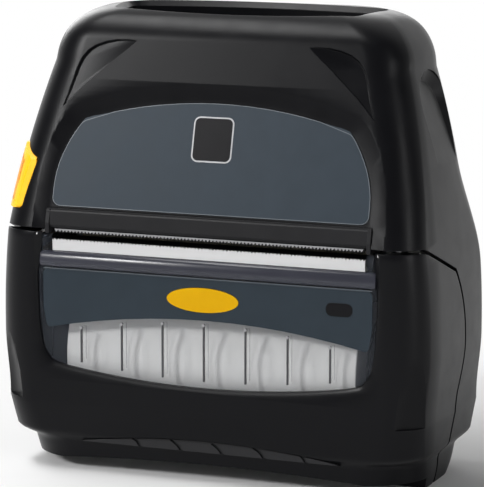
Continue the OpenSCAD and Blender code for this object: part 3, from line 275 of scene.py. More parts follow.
def join(name, objs):
    """One object from several, materials kept."""
    bm = bmesh.new()
    mats = []
    for o in objs:
        slots = []
        for m in o.data.materials:
            if m not in mats:
                mats.append(m)
            slots.append(mats.index(m))
        start = len(bm.faces)
        bm.from_mesh(o.data)
        bm.faces.ensure_lookup_table()
        for f in bm.faces[start:]:
            f.material_index = slots[f.material_index] if slots else 0
    me = bpy.data.meshes.new(name)
    bm.to_mesh(me)
    bm.free()
    for m in mats:
        me.materials.append(m)
    for o in objs[1:]:
        drop(o)
    objs[0].name = name
    set_mesh(objs[0], me)
    return objs[0]


# 2D outlines, in mm; a corner flatter than STRAIGHT degrees isn't rounded
SAME_POINT = 1e-4
STRAIGHT = 177


def arc(cx, cy, r, a0, a1, n):
    """n + 1 points from the angle a0 to a1, in degrees."""
    return [(cx + r * math.cos(math.radians(a0 + (a1 - a0) * k / n)),
             cy + r * math.sin(math.radians(a0 + (a1 - a0) * k / n))) for k in range(n + 1)]


def area2(pts):
    """Twice the signed area, above 0 where the points run anticlockwise."""
    return sum(pts[i - 1][0] * pts[i][1] - pts[i][0] * pts[i - 1][1] for i in range(len(pts)))


def fillet(pts, radii, n=8):
    """Rounds the corners of a polygon, by one radius or one for each corner; n steps to a right angle."""
    out = []
    m = len(pts)
    for i in range(m):
        r = radii[i] if isinstance(radii, (list, tuple)) else radii
        p = Vector(pts[i])
        a = Vector(pts[i - 1]) - p
        b = Vector(pts[(i + 1) % m]) - p
        la, lb = a.length, b.length
        a.normalize()
        b.normalize()
        ang = math.acos(max(-1, min(1, a.dot(b))))
        if r <= 0 or ang > math.radians(STRAIGHT):
            out.append(tuple(p))
            continue
        # the round takes less than half of each side
        t = min(r / math.tan(ang / 2), la * 0.49, lb * 0.49)
        r = t * math.tan(ang / 2)
        c = p + (a + b).normalized() * (r / math.sin(ang / 2))
        s, e = p + a * t - c, p + b * t - c
        a0, a1 = math.atan2(s.y, s.x), math.atan2(e.y, e.x)
        d = (a1 - a0 + PI) % (2 * PI) - PI
        k = max(2, int(n * abs(d) / (PI / 2)) + 1)
        turns = [a0 + d * j / k for j in range(k + 1)]
        out += [(c.x + r * math.cos(turn), c.y + r * math.sin(turn)) for turn in turns]
    return out


def offset(pts, d):
    """Parallel outline, outwards for d > 0, by vertex normals."""
    if area2(pts) < 0:
        pts = pts[::-1]
    clean = []
    for p in pts:
        if not clean or (Vector(p) - Vector(clean[-1])).length > SAME_POINT:
            clean.append(p)
    if (Vector(clean[0]) - Vector(clean[-1])).length < SAME_POINT:
        clean.pop()
    out = []
    m = len(clean)
    for i in range(m):
        p, q, r = Vector(clean[i - 1]), Vector(clean[i]), Vector(clean[(i + 1) % m])
        n0 = Vector(((q - p).y, -(q - p).x)).normalized()
        n1 = Vector(((r - q).y, -(r - q).x)).normalized()
        n = n0 + n1
        if n.length < 1e-6:
            n = n0.copy()
        n.normalize()
        # a sharp corner moves at most 2.5 times as far
        out.append(tuple(q + n * (d / max(0.4, n.dot(n0)))))
    return out


def rect(x0, z0, x1, z1):
    return [(x0, z0), (x1, z0), (x1, z1), (x0, z1)]


def rounded(x0, z0, x1, z1, r, n=6):
    return fillet(rect(x0, z0, x1, z1), r, n)


# body form, in mm: width, depth and height, and the walls
W, D, H = 156.8, 67.0, 158.0
FRONT, BACK = -D / 2, D / 2
WALL, REAR = 2.4, 3.6
# the upper front leans back from LEAN_Z on
LEAN, LEAN_Z = 0.27, 82.0
LEAN_A = math.atan(LEAN)
# rounds of the top, seen from the front and at the front and rear edge
SHOULDER, TOP_FRONT_R, TOP_REAR_R = 18.0, 10, 6
# front corners: an arc of CORNER_SWEEP degrees that ends in a crisp edge
CORNER, CORNER_SWEEP, CREASE = 14.3, 66.0, 1.0
# flanks: above SWELL_Z they draw in by SWELL times the square of the height above it
SWELL, SWELL_Z = 0.00172, 52
# and below WAIST_Z by up to WAIST_IN, reached WAIST_H lower
WAIST_Z, WAIST_H, WAIST_IN = 48, 22, 1.6
# draw-in of the front face under CHIN_Z and of the rear face under HEEL_Z
CHIN_Z, CHIN_IN, CHIN_POWER = 26, 2.2, 1.8
HEEL_Z, HEEL_IN = 6, 3.5
# foot: a taper up to FOOT_Z, and a ledge that ends over LEDGE_Z to LEDGE_Z + LEDGE_H
FOOT_Z, LEDGE_Z, LEDGE_H = 24, 9.5, 4.5
FOOT_IN_X, FOOT_IN_Y = 6.0, 4.6
# what the foot adds to the front corner's radius and sweep
FOOT_CORNER, FOOT_SWEEP = 8, 20
# radius of the rear corners, what the foot adds, and what comes on over REAR_GROW_H from REAR_GROW_Z up
REAR_R, REAR_R_FOOT, REAR_R_TOP = 7, 13, 15
REAR_GROW_Z, REAR_GROW_H = 72, 36
# hinge axis of the cover, Y and Z
HINGE = (-7.0, 5.5)
# upper panel: height of its foot, its length up the front and half its width
PANEL_Z, PANEL_H, PANEL_W = 92.0, 37.6, 57.0
# ends of cutters that lie beyond the body: in front of it, across it and on its left
AHEAD = -36
ACROSS = (-90, 90)
LEFT = (-85, -60)
PAST_LEFT = (-86, -60)


def ease(t):
    """Smooth step from 0 to 1."""
    t = max(0.0, min(1.0, t))
    return t * t * (3 - 2 * t)


def foot(z):
    """Share of the foot's draw-in: a ledge under the bumpers and a gentle taper above it."""
    return 0.5 * max(0.0, 1 - z / FOOT_Z) + 0.5 * (1 - ease((z - LEDGE_Z) / LEDGE_H))


def half_w(z):
    """Half the width at a height."""
    def flank(s):
        return W / 2 - SWELL * max(0.0, s - SWELL_Z) ** 2
    low = WAIST_IN * ease((WAIST_Z - z) / WAIST_H) + FOOT_IN_X * foot(z)
    top = H - SHOULDER
    if z <= top:
        return flank(z) - low
    return flank(top) - SHOULDER + math.sqrt(max(0.0, SHOULDER ** 2 - (z - top) ** 2))


def front(z):
    """Y of the front face at a height."""
    chin = CHIN_IN * max(0.0, 1 - z / CHIN_Z) ** CHIN_POWER
    y = FRONT + LEAN * max(0.0, z - LEAN_Z) + chin + FOOT_IN_Y * foot(z)
    r = TOP_FRONT_R
    if z > H - r:
        y += r - math.sqrt(max(0.0, r ** 2 - (z - H + r) ** 2))
    return y


def back(z):
    """Y of the rear face at a height."""
    y = BACK - HEEL_IN * max(0.0, 1 - z / HEEL_Z) ** 2
    r = TOP_REAR_R
    if z > H - r:
        y -= r - math.sqrt(max(0.0, r ** 2 - (z - H + r) ** 2))
    return y


def section(z, inset, rear):
    """Level outline of the body; inset draws the front and flanks in, and rear the back."""
    w, yf, yb = half_w(z) - inset, front(z) + inset, back(z) - rear
    f = foot(z)
    r = max(1.0, CORNER + FOOT_CORNER * f - inset)
    s = math.radians(CORNER_SWEEP + FOOT_SWEEP * f)
    e = CREASE * (1 - f)
    ye = yf + r * (1 - math.cos(s))
    cx = w - e - r * math.sin(s)
    rb = REAR_R + REAR_R_FOOT * f + REAR_R_TOP * ease((z - REAR_GROW_Z) / REAR_GROW_H) - inset
    rb = max(1.0, min(rb, yb - ye - 2))
    yr = yb - rb
    # from the crisp edge the flank swells to its full width at the rear corner
    side = [(w - e * (1 - t) ** 2, ye + t * (yr - ye)) for t in (0.2, 0.4, 0.6, 0.8)]
    a = math.degrees(s)
    n = 16
    pts = arc(w - rb, yr, rb, 0, 90, n) + arc(-(w - rb), yr, rb, 90, 180, n)
    pts += [(-x, y) for x, y in side[::-1]]
    pts += arc(-cx, yf + r, r, 270 - a, 270, n) + arc(cx, yf + r, r, 270, 270 + a, n)
    pts += side
    return [(x, y, z) for x, y in pts]


def levels(z0, z1):
    """Heights of the sections from z0 to z1, closer at the foot and where the top rounds off."""
    base = [0.0]
    while base[-1] < H:
        z = base[-1]
        d = 1.6
        for above, finer in ((H - 16, 0.7), (H - 3, 0.3), (H - 0.8, 0.1)):
            if z > above:
                d = finer
        if z < 26:
            d = 1.0
        base.append(min(H, z + d))
    return [z0] + [z for z in base if z0 + 0.04 < z < z1 - 0.04] + [z1]


def form(name, inset=0.0, rear=0.0, z0=0.0, z1=H):
    """The body's form between two heights, drawn in by inset."""
    return loft(name, [section(z, inset, rear) for z in levels(z0, z1)], "body_black")


def seam_outline(grow):
    """Side view of what belongs to the cover, grown by grow."""
    pts = [(-60, -20), (-60, 83.6), (-26, 83.6)] + arc(-32, 48, 41.4, 37.5, -25, 24)
    pts += arc(*HINGE, 8.0, 20, -64, 12) + [(HINGE[0], -20)]
    return offset(pts, grow)


def on_front(u, v, d):
    """Point u across, v up the leaning front from the foot of the upper panel, at depth d under it."""
    c, s = math.cos(LEAN_A), math.sin(LEAN_A)
    return (u, front(PANEL_Z) + v * s + d * c, PANEL_Z + v * c - d * s)


def panel_half(u):
    """Half the width of the upper panel at u mm up."""
    return PANEL_W - 8.6 * (max(0.0, u - 6) / (PANEL_H - 14)) ** 2


def panel_outline(grow=0.0, low=0.0):
    """Upper panel with its arched top, from low on."""
    top = arc(0, PANEL_H - 160, 160, 90 - 13.4, 90 + 13.4, 28)
    side = [(panel_half(u), u) for u in [6, 9, 12, 15, 18, 21, 24, 27, 29.5]]
    pts = [(-PANEL_W, low), (PANEL_W, low)] + side + top + [(-x, u) for x, u in side[::-1]]
    plain = [0] * (len(side) - 1)
    rad = [3.5, 3.5] + plain + [4, 7] + [0] * (len(top) - 2) + [7, 4] + plain
    return offset(fillet(pts, rad, 10), grow)


def arch_pocket(grow, inn):
    """Side view of the grip hollow."""
    r = 12.5 + grow - inn
    return arc(5, 128.0, r, 0, 180, 32) + [(5 - r, 108 - grow), (5 + r, 108 - grow)]


def pocket_cut(s, grow):
    """Grip hollow in the flank: an arched wall over a floor that sinks towards the top."""
    a = math.radians(-20)
    x0, z0 = half_w(108) - grow, 108.0
    rings = []
    for inn, push in ((3.0, 0.0), (-1.0, 2.8), (-2.6, 22.0)):
        rings.append([(s * (x0 + push + (v - z0) * math.sin(a)), u, z0 + (v - z0) * math.cos(a))
                      for u, v in arch_pocket(grow, inn)])
    return loft("pocket", rings, None, 20)


def scallop(s):
    """Dished corner: a facet that starts flush at the chord and ends under a steep outer wall."""
    outer = [(30, 58.6), (34, 58.5), (38, 58.2), (42, 57.4), (46, 56.0), (49, 54.0), (51.2, 51.2),
             (52.8, 47.4), (53.9, 43), (55.2, 38.5), (56.7, 34.0)]
    chord = [(56.0, 34.2), (53.0, 37.6), (49.5, 41.2), (46.4, 44.0), (43, 47.1), (40, 49.9),
             (37, 52.4), (34, 54.8), (31.5, 57.0)]
    pts = outer + chord
    across = Vector((26.5, 24.4)).normalized()

    def depth(u, v):
        """Grows with the distance from the chord."""
        h = (Vector((u, v)) - Vector((30, 58.6))).dot(across)
        return 0.02 + max(0.0, min(1.0, h / 8.0)) * 1.1
    low = []
    for u, v in pts:
        # the floor is smaller than the mouth along the outer wall
        k = 0.9 if (u, v) in outer else 1.0
        low.append(on_front(s * (43 + (u - 43) * k), 48 + (v - 48) * k, depth(u, v)))
    mid, top = [[on_front(s * u, v, d) for u, v in pts] for d in (-0.6, -6)]
    return loft("scallop", [low, mid, top], None, 25)


def button_outline(grow):
    pts = [(-29.3, 90), (0, 90), (0, 111.5), (-18.6, 111.5), (-25.7, 107)]
    return offset(fillet(pts, 1.0, 5), grow)


def well_outline(grow):
    """Mouth of the sunken top well, with bowed front and rear edges."""
    pts = [(-43, -4.2)] + [(x, -7.8 + x * x / 520.0) for x in range(-40, 41, 4)]
    pts += [(43, -4.2), (46.8, 17.4)] + [(x, 25.0 - x * x / 290.0) for x in range(42, -43, -6)]
    pts.append((-46.8, 17.4))
    rad = [2.5] + [0] * 21 + [2.5, 4] + [0] * 15 + [4]
    return offset(fillet(pts, rad, 6), grow)


# back plate: middle height, width, height and corner radius of its recess and of the opening behind
PLATE_Z = 80
RECESS = (96, 130, 6)
OPENING = (88, 122, 4)


def plate_outline(w, h, r, grow=0.0):
    x, z = w / 2, h / 2
    return rounded(-x - grow, PLATE_Z - z - grow, x + grow, PLATE_Z + z + grow, r + grow, 8)


def cavity():
    """Hollow of the housing, clear of the panel's seat and of the grip hollows."""
    inner = form("cavity", WALL, REAR, WALL, 146.0)
    boolean(inner, [prism("keep", panel_outline(7), on_front, -3, 4.6, None)])
    for s in (-1, 1):
        boolean(inner, [pocket_cut(s, WALL)])
    # room for the foot of the right arm when it slides out
    boolean(inner, [prism("room", rect(48, 3.8, 62.3, 14), at_y, 12, 29.3, None)], "UNION")
    return inner


def well_cuts():
    """Top well with a rounded rim, the seat of the control plate and the hole under it."""
    mouth = well_outline(0)
    return [prism("well", mouth, at_z, 149, 170, None),
            taper("rim", offset(mouth, -0.2), offset(mouth, 2.8), at_z, 155.9, 158.9, None),
            prism("seat", well_outline(0.1), at_z, 147.2, 150, None),
            prism("hole", well_outline(-1), at_z, 144.2, 148, None)]


def panel_cuts():
    """Bevelled surround and the seat of the upper panel."""
    steps = ((8.6, -4.0), (6.5, -0.15), (5.9, 0.08), (1.2, 0.8), (0.4, 0.95))
    rings = [[on_front(u, v, d) for u, v in panel_outline(grow, -15)] for grow, d in steps]
    return [loft("bevel", rings, None),
            prism("panel", panel_outline(0.15), on_front, -1, 1.5, None)]


def bosses():
    """Six screw bosses behind the back plate."""
    out = []
    for x in (-44, 44):
        for z in (-61, 0, 61):
            turns = [a * PI / 12 for a in range(24)]
            rim = [(x + 3 * math.cos(a), PLATE_Z + z + 3 * math.sin(a)) for a in turns]
            out.append(prism("boss", rim, at_y, 27, 31.85, "body_black"))
    return out


def housing():
    o = form("housing_look")
    boolean(o, [cavity()])
    boolean(o, [prism("seam", seam_outline(0.65), at_x, *ACROSS, None)])
    boolean(o, well_cuts())
    boolean(o, [prism("mouth", rect(-58.5, 76, 58.5, 91), at_y, AHEAD, -19.5, None)])
    boolean(o, panel_cuts())
    # land round the back plate, inside the rear face
    land = prism("land", rounded(-51, 12, 51, 148, 8), at_y, 27, BACK, "body_black")
    boolean(land, [form("limit", 1.0, -1.0, 8, 152)], "INTERSECT")
    boolean(o, [land], "UNION")
    for s in (-1, 1):
        boolean(o, [scallop(s)])
        boolean(o, [pocket_cut(s, 0)])
    boolean(o, [prism("button", button_outline(0.3), at_x, *LEFT, None)])
    boolean(o, [prism("door", rounded(6.7, 88.2, 25.3, 106.8, 2.3, 8), at_x, *LEFT, None)])
    boolean(o, [prism("recess", plate_outline(*RECESS, 0.3), at_y, 31.9, 40, None)])
    boolean(o, [prism("opening", plate_outline(*OPENING), at_y, 28.5, 40, None)])
    finish_mesh(o, 32)
    return join("housing_look", [o] + bosses())


def thumb_scoop(s):
    """Hollow in the front corner of the cover: runs out at the top and ends in a ledge below."""
    r, t = 20.0, math.radians(42)
    n = Vector((s * math.sin(t), -math.cos(t)))
    rings = []
    for z, depth in ((23.2, 1.7), (26.5, 1.9), (34, 1.6), (41, 0.9), (47, 0.0), (49, -0.6)):
        cx = half_w(z) - CREASE - CORNER * math.sin(math.radians(CORNER_SWEEP))
        c = Vector((s * cx, front(z) + CORNER))
        axis = c + n * (CORNER + r - depth)
        # the ledge slopes up towards the body
        slope = 0 if z > 24 else 1.6
        ring = []
        for k in range(40):
            a = 2 * PI * k / 40
            x, y = axis.x + r * math.cos(a), axis.y + r * math.sin(a)
            ring.append((x, y, z - slope * (Vector((x, y)) - axis).dot(n) / r))
        rings.append(ring)
    return loft("scoop", rings, None, 30)


def chin_arch(x):
    """Height of the underside between the feet."""
    return 5.8 - 1.6 * (x / 50) ** 2


def chin_cuts():
    """Cutters for the arched underside and the raised front edge; the feet stand behind it."""
    arch = [(x, chin_arch(x)) for x in range(-50, 51, 5)]
    low = 3.6
    under = [(-54.5, -2), (-52.5, 2.4)] + arch + [(52.5, 2.4), (54.5, -2)]
    edge = [(-90, -2), (-90, low), (-55, low)] + arch + [(55, low), (90, low), (90, -2)]
    return [prism("under", under, at_y, -40, 12, None),
            prism("edge", edge, at_y, -40, -9, None)]


def tread_outline(grow):
    pts = [(-47, 10.2), (49, 10.2)] + [(x, 15.0 - 3.6 * (x / 46) ** 2) for x in range(46, -47, -4)]
    return offset(pts, grow)


def tread():
    """Rubber tread on the chin with five slanted hooks; its grey, lighter than the body, is a painted
    highlight along the band.
    """
    y = front(12)
    o = prism("tread_look", tread_outline(-0.5), at_y, y + 0.15, y + 1.25, "tread_rubber_painted_highlight")
    for i in range(-2, 3):
        x = i * 15 + 4
        hook = [(x + 2.4, 9), (x + 3.6, 9), (x + 1.2, 12.6), (x - 1.6, 14.4), (x - 2.4, 13.8), (x, 12.2)]
        boolean(o, [prism("notch", hook, at_y, AHEAD, y + 1.0, None)])
    finish_mesh(o, 30)
    return o


LENS_Y = -32.3
SILL_Z, SILL_R = 33.4, 318


def lens_outline(grow):
    """Window opening, from its bowed sill up past the lip."""
    right = [(55.5, 38.6), (59, 43), (60.4, 52), (61, 68), (59.4, 81), (59.4, 92)]
    sill = [(x, SILL_Z + SILL_R - math.sqrt(SILL_R ** 2 - x * x)) for x in range(-50, 51, 5)]
    pts = [(-x, z) for x, z in right[::-1]] + sill + right
    rad = [0, 6, 6, 8, 6, 4] + [0] * len(sill) + [4, 6, 8, 6, 6, 0]
    return offset(fillet(pts, rad, 8), grow)


def rib(x):
    """Thin rib on the window with a rounded tip; its opaque dark grey is painted shade standing in for a
    clear rib, and the light tip is a painted highlight.
    """
    top = 54.9 - 6.7 * (x / 57.5) ** 2
    low = 35.6 + x * x / 640
    y0, y1 = LENS_Y - 0.75, LENS_Y + 0.1
    # opaque dark grey bar: painted shade of a clear rib
    bar = prism("rib", rect(x - 0.24, low, x + 0.24, top), at_y, y0, y1, "rib_painted_shade", 0)
    # light ball at the top: painted highlight on the rib's rounded tip
    tip = prism("tip", arc(x, top, 0.52, 0, 330, 11), at_y, y0 - 0.15, y1, "tooth_light_and_tip_highlight")
    return [bar, tip]


def cover():
    o = form("cover_look", z1=86.0)
    boolean(o, [form("cavity", WALL, WALL, 12.0, 87.0)])
    # window opening and the space of the lip above it, both with bevelled rims
    lens = lens_outline(0.3)
    boolean(o, [prism("lens", lens, at_y, AHEAD, -22, None)])
    boolean(o, [taper("lens_rim", offset(lens, -0.5), offset(lens, 2.6), at_y, -32.4, -34.3, None)])
    boolean(o, [prism("middle", rect(-60, 70, 60, 90), at_y, AHEAD, -22, None)])
    boolean(o, [taper("middle_rim", rect(-59.6, 64, 59.6, 90), rect(-63, 62, 63, 90), at_y,
                      -31.2, -34.2, None)])
    # caps on the two side columns
    corners = ((-76, -33), (-61.2, -33), (-61.2, -18), (-76, -18))
    left, right = [prism("cap", [(s * x, y) for x, y in corners], at_z, 82.0, 84.5, None) for s in (1, -1)]
    limit = form("limit", 0.6, 0.6, 60, 86.0)
    boolean(left, [limit], "INTERSECT", keep=True)
    boolean(right, [limit], "INTERSECT")
    boolean(o, [left, right], "UNION")
    boolean(o, [prism("seam", seam_outline(-0.6), at_x, *ACROSS, None)], "INTERSECT")
    boolean(o, chin_cuts())
    for s in (-1, 1):
        boolean(o, [thumb_scoop(s)])
    boolean(o, [prism("tread_seat", tread_outline(0), at_y, AHEAD, front(12) + 1.3, None)])
    finish_mesh(o, 32)
    return o


def roll():
    """Label roll: a hollow cylinder along X with softened rims."""
    half, cy, cz, outer, inner = 52.5, -1.5, 40, 27, 12.75
    n, soft = 128, 0.25

    def ring(r, x):
        return [(x, cy + r * math.cos(2 * PI * k / n), cz + r * math.sin(2 * PI * k / n)) for k in range(n)]
    profile = [(inner, -half), (outer - soft, -half), (outer, -half + soft),
               (outer, half - soft), (outer - soft, half), (inner, half)]
    verts = [p for r, x in profile for p in ring(r, x)]
    faces = []
    for i in range(len(profile)):
        j = (i + 1) % len(profile)
        for k in range(n):
            m = (k + 1) % n
            faces.append((i * n + k, i * n + m, j * n + m, j * n + k))
    return obj_from("roll_look", verts, faces, "label_paper")


def inside(outline, u, v):
    """Whether a point lies inside an outline, by counting the edges beside it."""
    hit = False
    for i in range(len(outline)):
        (u0, v0), (u1, v1) = outline[i - 1], outline[i]
        if (v0 > v) != (v1 > v) and u < (u1 - u0) * (v - v0) / (v1 - v0) + u0:
            hit = not hit
    return hit


def release_button():
    """Thumb button on the left flank: a raised rim round a recessed face, which is painted a darker orange as
    shade.
    """
    o = prism("button_look", button_outline(0), at_x, -85, -64.5, "button_orange")
    boolean(o, [form("outside", -0.8, 0, 86, 116)], "INTERSECT")
    boolean(o, [form("inside", 2.2, 0, 84, 118)])
    face = prism("face", button_outline(-2.4), at_x, *PAST_LEFT, None)
    boolean(face, [form("inside", 0.1, 0, 84, 118)])
    boolean(o, [face])
    finish_mesh(o, 0)
    o.data.shade_flat()
    o.data.materials.clear()
    o.data.materials.append(MATS["button_orange"])
    o.data.materials.append(MATS["button_face_painted_shade"])
    # faces of the recessed face take the darker orange: painted shade
    recess = button_outline(-2.5)
    for f in o.data.polygons:
        c = f.center / MM
        if f.normal.x < -0.4 and inside(recess, c.y, c.z):
            f.material_index = 1
    return o


def port_door():
    """Flap over the two sockets, flush with the left flank."""
    o = prism("door_look", rounded(7, 88.5, 25, 106.5, 2.0), at_x, *LEFT, "soft_rubber")
    boolean(o, [form("outside", 0.05, 0, 85, 110)], "INTERSECT")
    boolean(o, [form("inside", 1.7, 0, 83, 112)])
    grip = prism("grip", rounded(20.5, 93.5, 22.5, 101.5, 0.9), at_x, *PAST_LEFT, None)
    boolean(grip, [form("inside", 0.7, 0, 83, 112)])
    boolean(o, [grip])
    finish_mesh(o, 35)
    return o


def sawtooth(name, x0, x1, root, tip, y0, y1, back_z, mat):
    """Row of fine teeth between root and tip, with a strip to back_z."""
    pitch = 1.27
    n = int(round((x1 - x0) / pitch))
    pts = [(x1, back_z), (x0, back_z)]
    for i in range(n):
        x = x0 + (x1 - x0) * i / n
        pts += [(x + 0.1, root), (x + (x1 - x0) / n / 2, tip)]
    pts.append((x1 - 0.1, root))
    return prism(name, pts, at_y, y0, y1, mat, 0)


def lip():
    """Rounded glossy lip of the cover's window frame under the tear bar."""
    y0, z0 = -30.6, 73.9
    profile = [(y0, 71.3), (-32.45, 71.3), (-32.9, 71.7), (-33.0, 72.6), (-32.9, 73.8), (-32.6, 75.0),
               (-32.1, 75.9), (-31.4, 76.4), (y0, 76.5)]
    rings = []
    # k is 0 at the drawn-in ends and 1 along the lip
    for x, k in ((-60.6, 0.0), (-60.4, 0.6), (-59.6, 1.0), (59.6, 1.0), (60.4, 0.6), (60.6, 0.0)):
        rings.append([(x, y0 + (y - y0) * (0.72 + 0.28 * k), z0 + (z - z0) * (0.8 + 0.2 * k))
                      for y, z in profile])
    return loft("cover_lip", rings, "lip_smoke", 40)


def outline_ring(name, outer, inner, d0, d1, mat):
    """Thin raised line on the leaning front, between two outlines of as many points."""
    n = len(outer)
    verts = [on_front(u, v, d) for d in (d0, d1) for outline in (outer, inner) for u, v in outline]
    faces = []
    for k in range(n):
        m = (k + 1) % n
        faces += [(k, m, n + m, n + k), (2 * n + k, 2 * n + m, 3 * n + m, 3 * n + k),
                  (k, m, 2 * n + m, 2 * n + k), (n + k, n + m, 3 * n + m, 3 * n + k)]
    return obj_from(name, verts, faces, mat, 0)


def put(o, body, slot, *nodes):
    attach(o, body)
    if nodes:
        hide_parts(*nodes)


def dress():
    put(housing(), "housing", "body_black", "housing_shell")
    put(cover(), "cover", "body_black", "cover_shell")
    put(release_button(), "button", "button_orange", "release_button")
    put(port_door(), "door", "soft_rubber", "port_door")
    put(roll(), "roll", "label_paper", "label_roll")
    put(lip(), "cover", "window_smoke")
    # window ribs in painted shade, with painted highlights on their tips
    put(join("window_ribs", [r for i in range(-3, 4) for r in rib(15 * i)]), "cover", "window_smoke")
    put(tread(), "cover", "soft_rubber")
    line = prism("panel_line_low", rect(-59.2, 70.45, 59.2, 70.7), at_y, -32.42, -32.2, "film_edge")
    put(line, "cover", "panel_slate")
    teeth = sawtooth("upper_teeth", -55.6, 55.6, 83.7, 82.9, -30.75, -30.2, 83.95, "tooth_light_and_tip_highlight")
    put(teeth, "housing", "tear_steel")
    teeth = sawtooth("lower_teeth", -56, 56, 80.1, 80.7, -31.15, -30.7, 79.6, "tear_steel")
    put(teeth, "cover", "tear_steel")
    line = outline_ring("panel_line", panel_outline(-0.05), panel_outline(-0.3), 0.88, 1.1, "film_edge")
    put(line, "housing", "panel_slate")
    square = rounded(-7.7, 17.6, 6.8, 33.0, 2.3)
    badge = prism("badge_square", offset(square, -0.45), on_front, 0.84, 1.1, "badge_black")
    put(badge, "housing", "inner_black")
    badge = outline_ring("badge_line", square, offset(square, -0.5), 0.8, 1.1, "tooth_light_and_tip_highlight")
    put(badge, "housing", "panel_slate")
    badge = prism("badge_pill", rounded(43.2, 61.3, 52.6, 65.8, 2.1), at_y, -32.4, -32.2, "badge_black")
    put(badge, "cover", "inner_black")


# view: where the camera aims, its direction in radians and its distance in metres
TARGET = Vector((0, 0, 0.079))
AZ, EL, DIST = math.radians(21.8), math.radians(9.7), 1.0
# size of the picture, its principal point and the focal length, in its pixels
PICTURE = (484, 487)
PRINCIPAL = (240, 239)
FOCAL = 2916.0
SENSOR = 36


def camera():
    cam = bpy.data.cameras.new("cam")
    o = bpy.data.objects.new("cam", cam)
    bpy.context.scene.collection.objects.link(o)
    back_dir = Vector((math.sin(AZ) * math.cos(EL), -math.cos(AZ) * math.cos(EL), math.sin(EL)))
    o.location = TARGET + back_dir * DIST
    o.rotation_euler = back_dir.to_track_quat("Z", "Y").to_euler()
    cam.sensor_fit = "HORIZONTAL"
    cam.sensor_width = SENSOR
    cam.lens = FOCAL / PICTURE[0] * SENSOR
    cam.shift_x = (PICTURE[0] / 2 - PRINCIPAL[0]) / PICTURE[0]
    cam.shift_y = (PRINCIPAL[1] - PICTURE[1] / 2) / PICTURE[0]
    cam.clip_start = 0.01
    bpy.context.scene.camera = o


# lamps, all turned to the middle of the body: place and size in metres, and power in watts
LOOK_AT = Vector((0, 0, 0.08))
LAMPS = (("key_left", (-0.73, -0.92, 0.66), (0.24, 0.24), 10.0),
         ("top", (-0.36, -0.16, 1.02), (0.7, 0.25), 6.5),
         ("right_strip", (1.0, -0.62, 0.3), (0.1, 0.9), 3.5),
         ("right_side", (1.2, 0.5, 0.12), (0.8, 0.3), 2.5),
         ("rear", (-0.45, 1.25, 0.6), (0.6, 0.6), 2.0),
         ("rear_left", (-0.8, 0.8, 0.5), (0.5, 0.5), 3.5))


def lamp(name, loc, size, power):
    light = bpy.data.lights.new(name, "AREA")
    light.shape = "RECTANGLE"
    light.size, light.size_y = size
    light.energy = power
    o = bpy.data.objects.new(name, light)
    bpy.context.scene.collection.objects.link(o)
    o.location = loc
    o.rotation_euler = (Vector(loc) - LOOK_AT).to_track_quat("Z", "Y").to_euler()
    return o


def lights():
    for row in LAMPS:
        lamp(*row)
    # lifts the front without a highlight of its own
    fill = lamp("front_fill", (0.1, -1.4, 0.1), (0.9, 0.5), 3.5)
    fill.visible_glossy = False


def combine(nt, operation, a, b):
    """Math node on two outputs."""
    m = node(nt, "Math")
    m.operation = operation
    nt.links.new(a, m.inputs[0])
    nt.links.new(b, m.inputs[1])
    return m.outputs[0]


def seen(nt, *rays):
    """1 where the ray is one of these kinds."""
    path = node(nt, "LightPath")
    out = path.outputs[rays[0]]
    for r in rays[1:]:
        out = combine(nt, "MAXIMUM", out, path.outputs[r])
    return out


def fade(nt, source, low, high):
    """Smooth step from 0 at low to 1 at high."""
    m = node(nt, "MapRange", {"From Min": low, "From Max": high})
    m.interpolation_type = "SMOOTHSTEP"
    nt.links.new(source, m.inputs["Value"])
    return m.outputs["Result"]


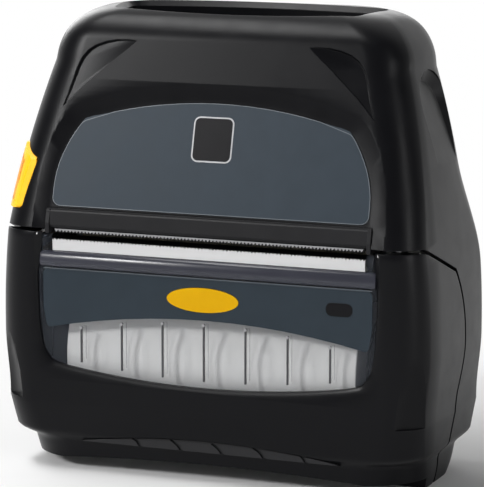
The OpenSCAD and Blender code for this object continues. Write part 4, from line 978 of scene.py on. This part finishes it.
def world():
    """White for the camera and through glass; reflections see it behind the body and a dim room in front."""
    w = bpy.data.worlds.new("world")
    bpy.context.scene.world = w
    w.use_nodes = True
    nt = w.node_tree
    bg = nt.nodes["Background"]
    bg.inputs["Color"].default_value = (1, 1, 1, 1)
    coord = node(nt, "TexCoord")
    split = node(nt, "SeparateXYZ")
    nt.links.new(coord.outputs["Generated"], split.inputs["Vector"])
    rear = fade(nt, split.outputs["Y"], -0.1, 0.5)
    path = node(nt, "LightPath")
    glossy = combine(nt, "MULTIPLY", path.outputs["Is Glossy Ray"], rear)
    white = combine(nt, "MAXIMUM", glossy, seen(nt, "Is Camera Ray", "Is Transmission Ray"))
    level = node(nt, "MapRange", {"To Min": 0.14, "To Max": 1.0})
    nt.links.new(white, level.inputs["Value"])
    nt.links.new(level.outputs["Result"], bg.inputs["Strength"])


def floor():
    """Pale floor that keeps the shadow and turns into the white backdrop further out."""
    r, z = 3000, -0.15
    o = obj_from("floor", [(-r, -r, z), (r, -r, z), (r, r, z), (-r, r, z)], [(0, 1, 2, 3)], None, 0)
    m = bpy.data.materials.new("floor_pale")
    m.use_nodes = True
    nt = m.node_tree
    b = nt.nodes["Principled BSDF"]
    b.inputs["Base Color"].default_value = (0.86, 0.86, 0.86, 1)
    b.inputs["Specular IOR Level"].default_value = 0.0
    grain = node(nt, "TexNoise", {"Scale": 60.0})
    rough = node(nt, "MapRange", {"To Min": 0.7, "To Max": 0.9})
    nt.links.new(grain.outputs["Fac"], rough.inputs["Value"])
    nt.links.new(rough.outputs["Result"], b.inputs["Roughness"])
    glow = node(nt, "Emission")
    geo = node(nt, "NewGeometry")
    length = node(nt, "VectorMath")
    length.operation = "LENGTH"
    nt.links.new(geo.outputs["Position"], length.inputs[0])
    far = fade(nt, length.outputs["Value"], 0.08, 0.3)
    fac = combine(nt, "MULTIPLY", far, seen(nt, "Is Camera Ray", "Is Glossy Ray", "Is Transmission Ray"))
    mix = node(nt, "MixShader")
    nt.links.new(fac, mix.inputs["Fac"])
    nt.links.new(b.outputs["BSDF"], mix.inputs[1])
    nt.links.new(glow.outputs["Emission"], mix.inputs[2])
    nt.links.new(mix.outputs["Shader"], nt.nodes["Material Output"].inputs["Surface"])
    o.data.materials.append(m)


def main():
    reset()
    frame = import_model()
    palette()
    slots = {p["node"]: p["material_slot"] for p in frame["record"]["subparts"]}
    # the control plate in the top well takes the darker well black, painted shade of the recess
    slots.update({"exit_bar": "bar_black", "lower_panel": "panel_slate_low", "control_plate": "well_painted_shade"})
    for name, o in frame["nodes"].items():
        o.data.materials.clear()
        o.data.materials.append(MATS[slots[name]])
    camera()
    dress()
    floor()
    lights()
    world()
    bpy.context.scene.view_settings.view_transform = "Standard"


main()
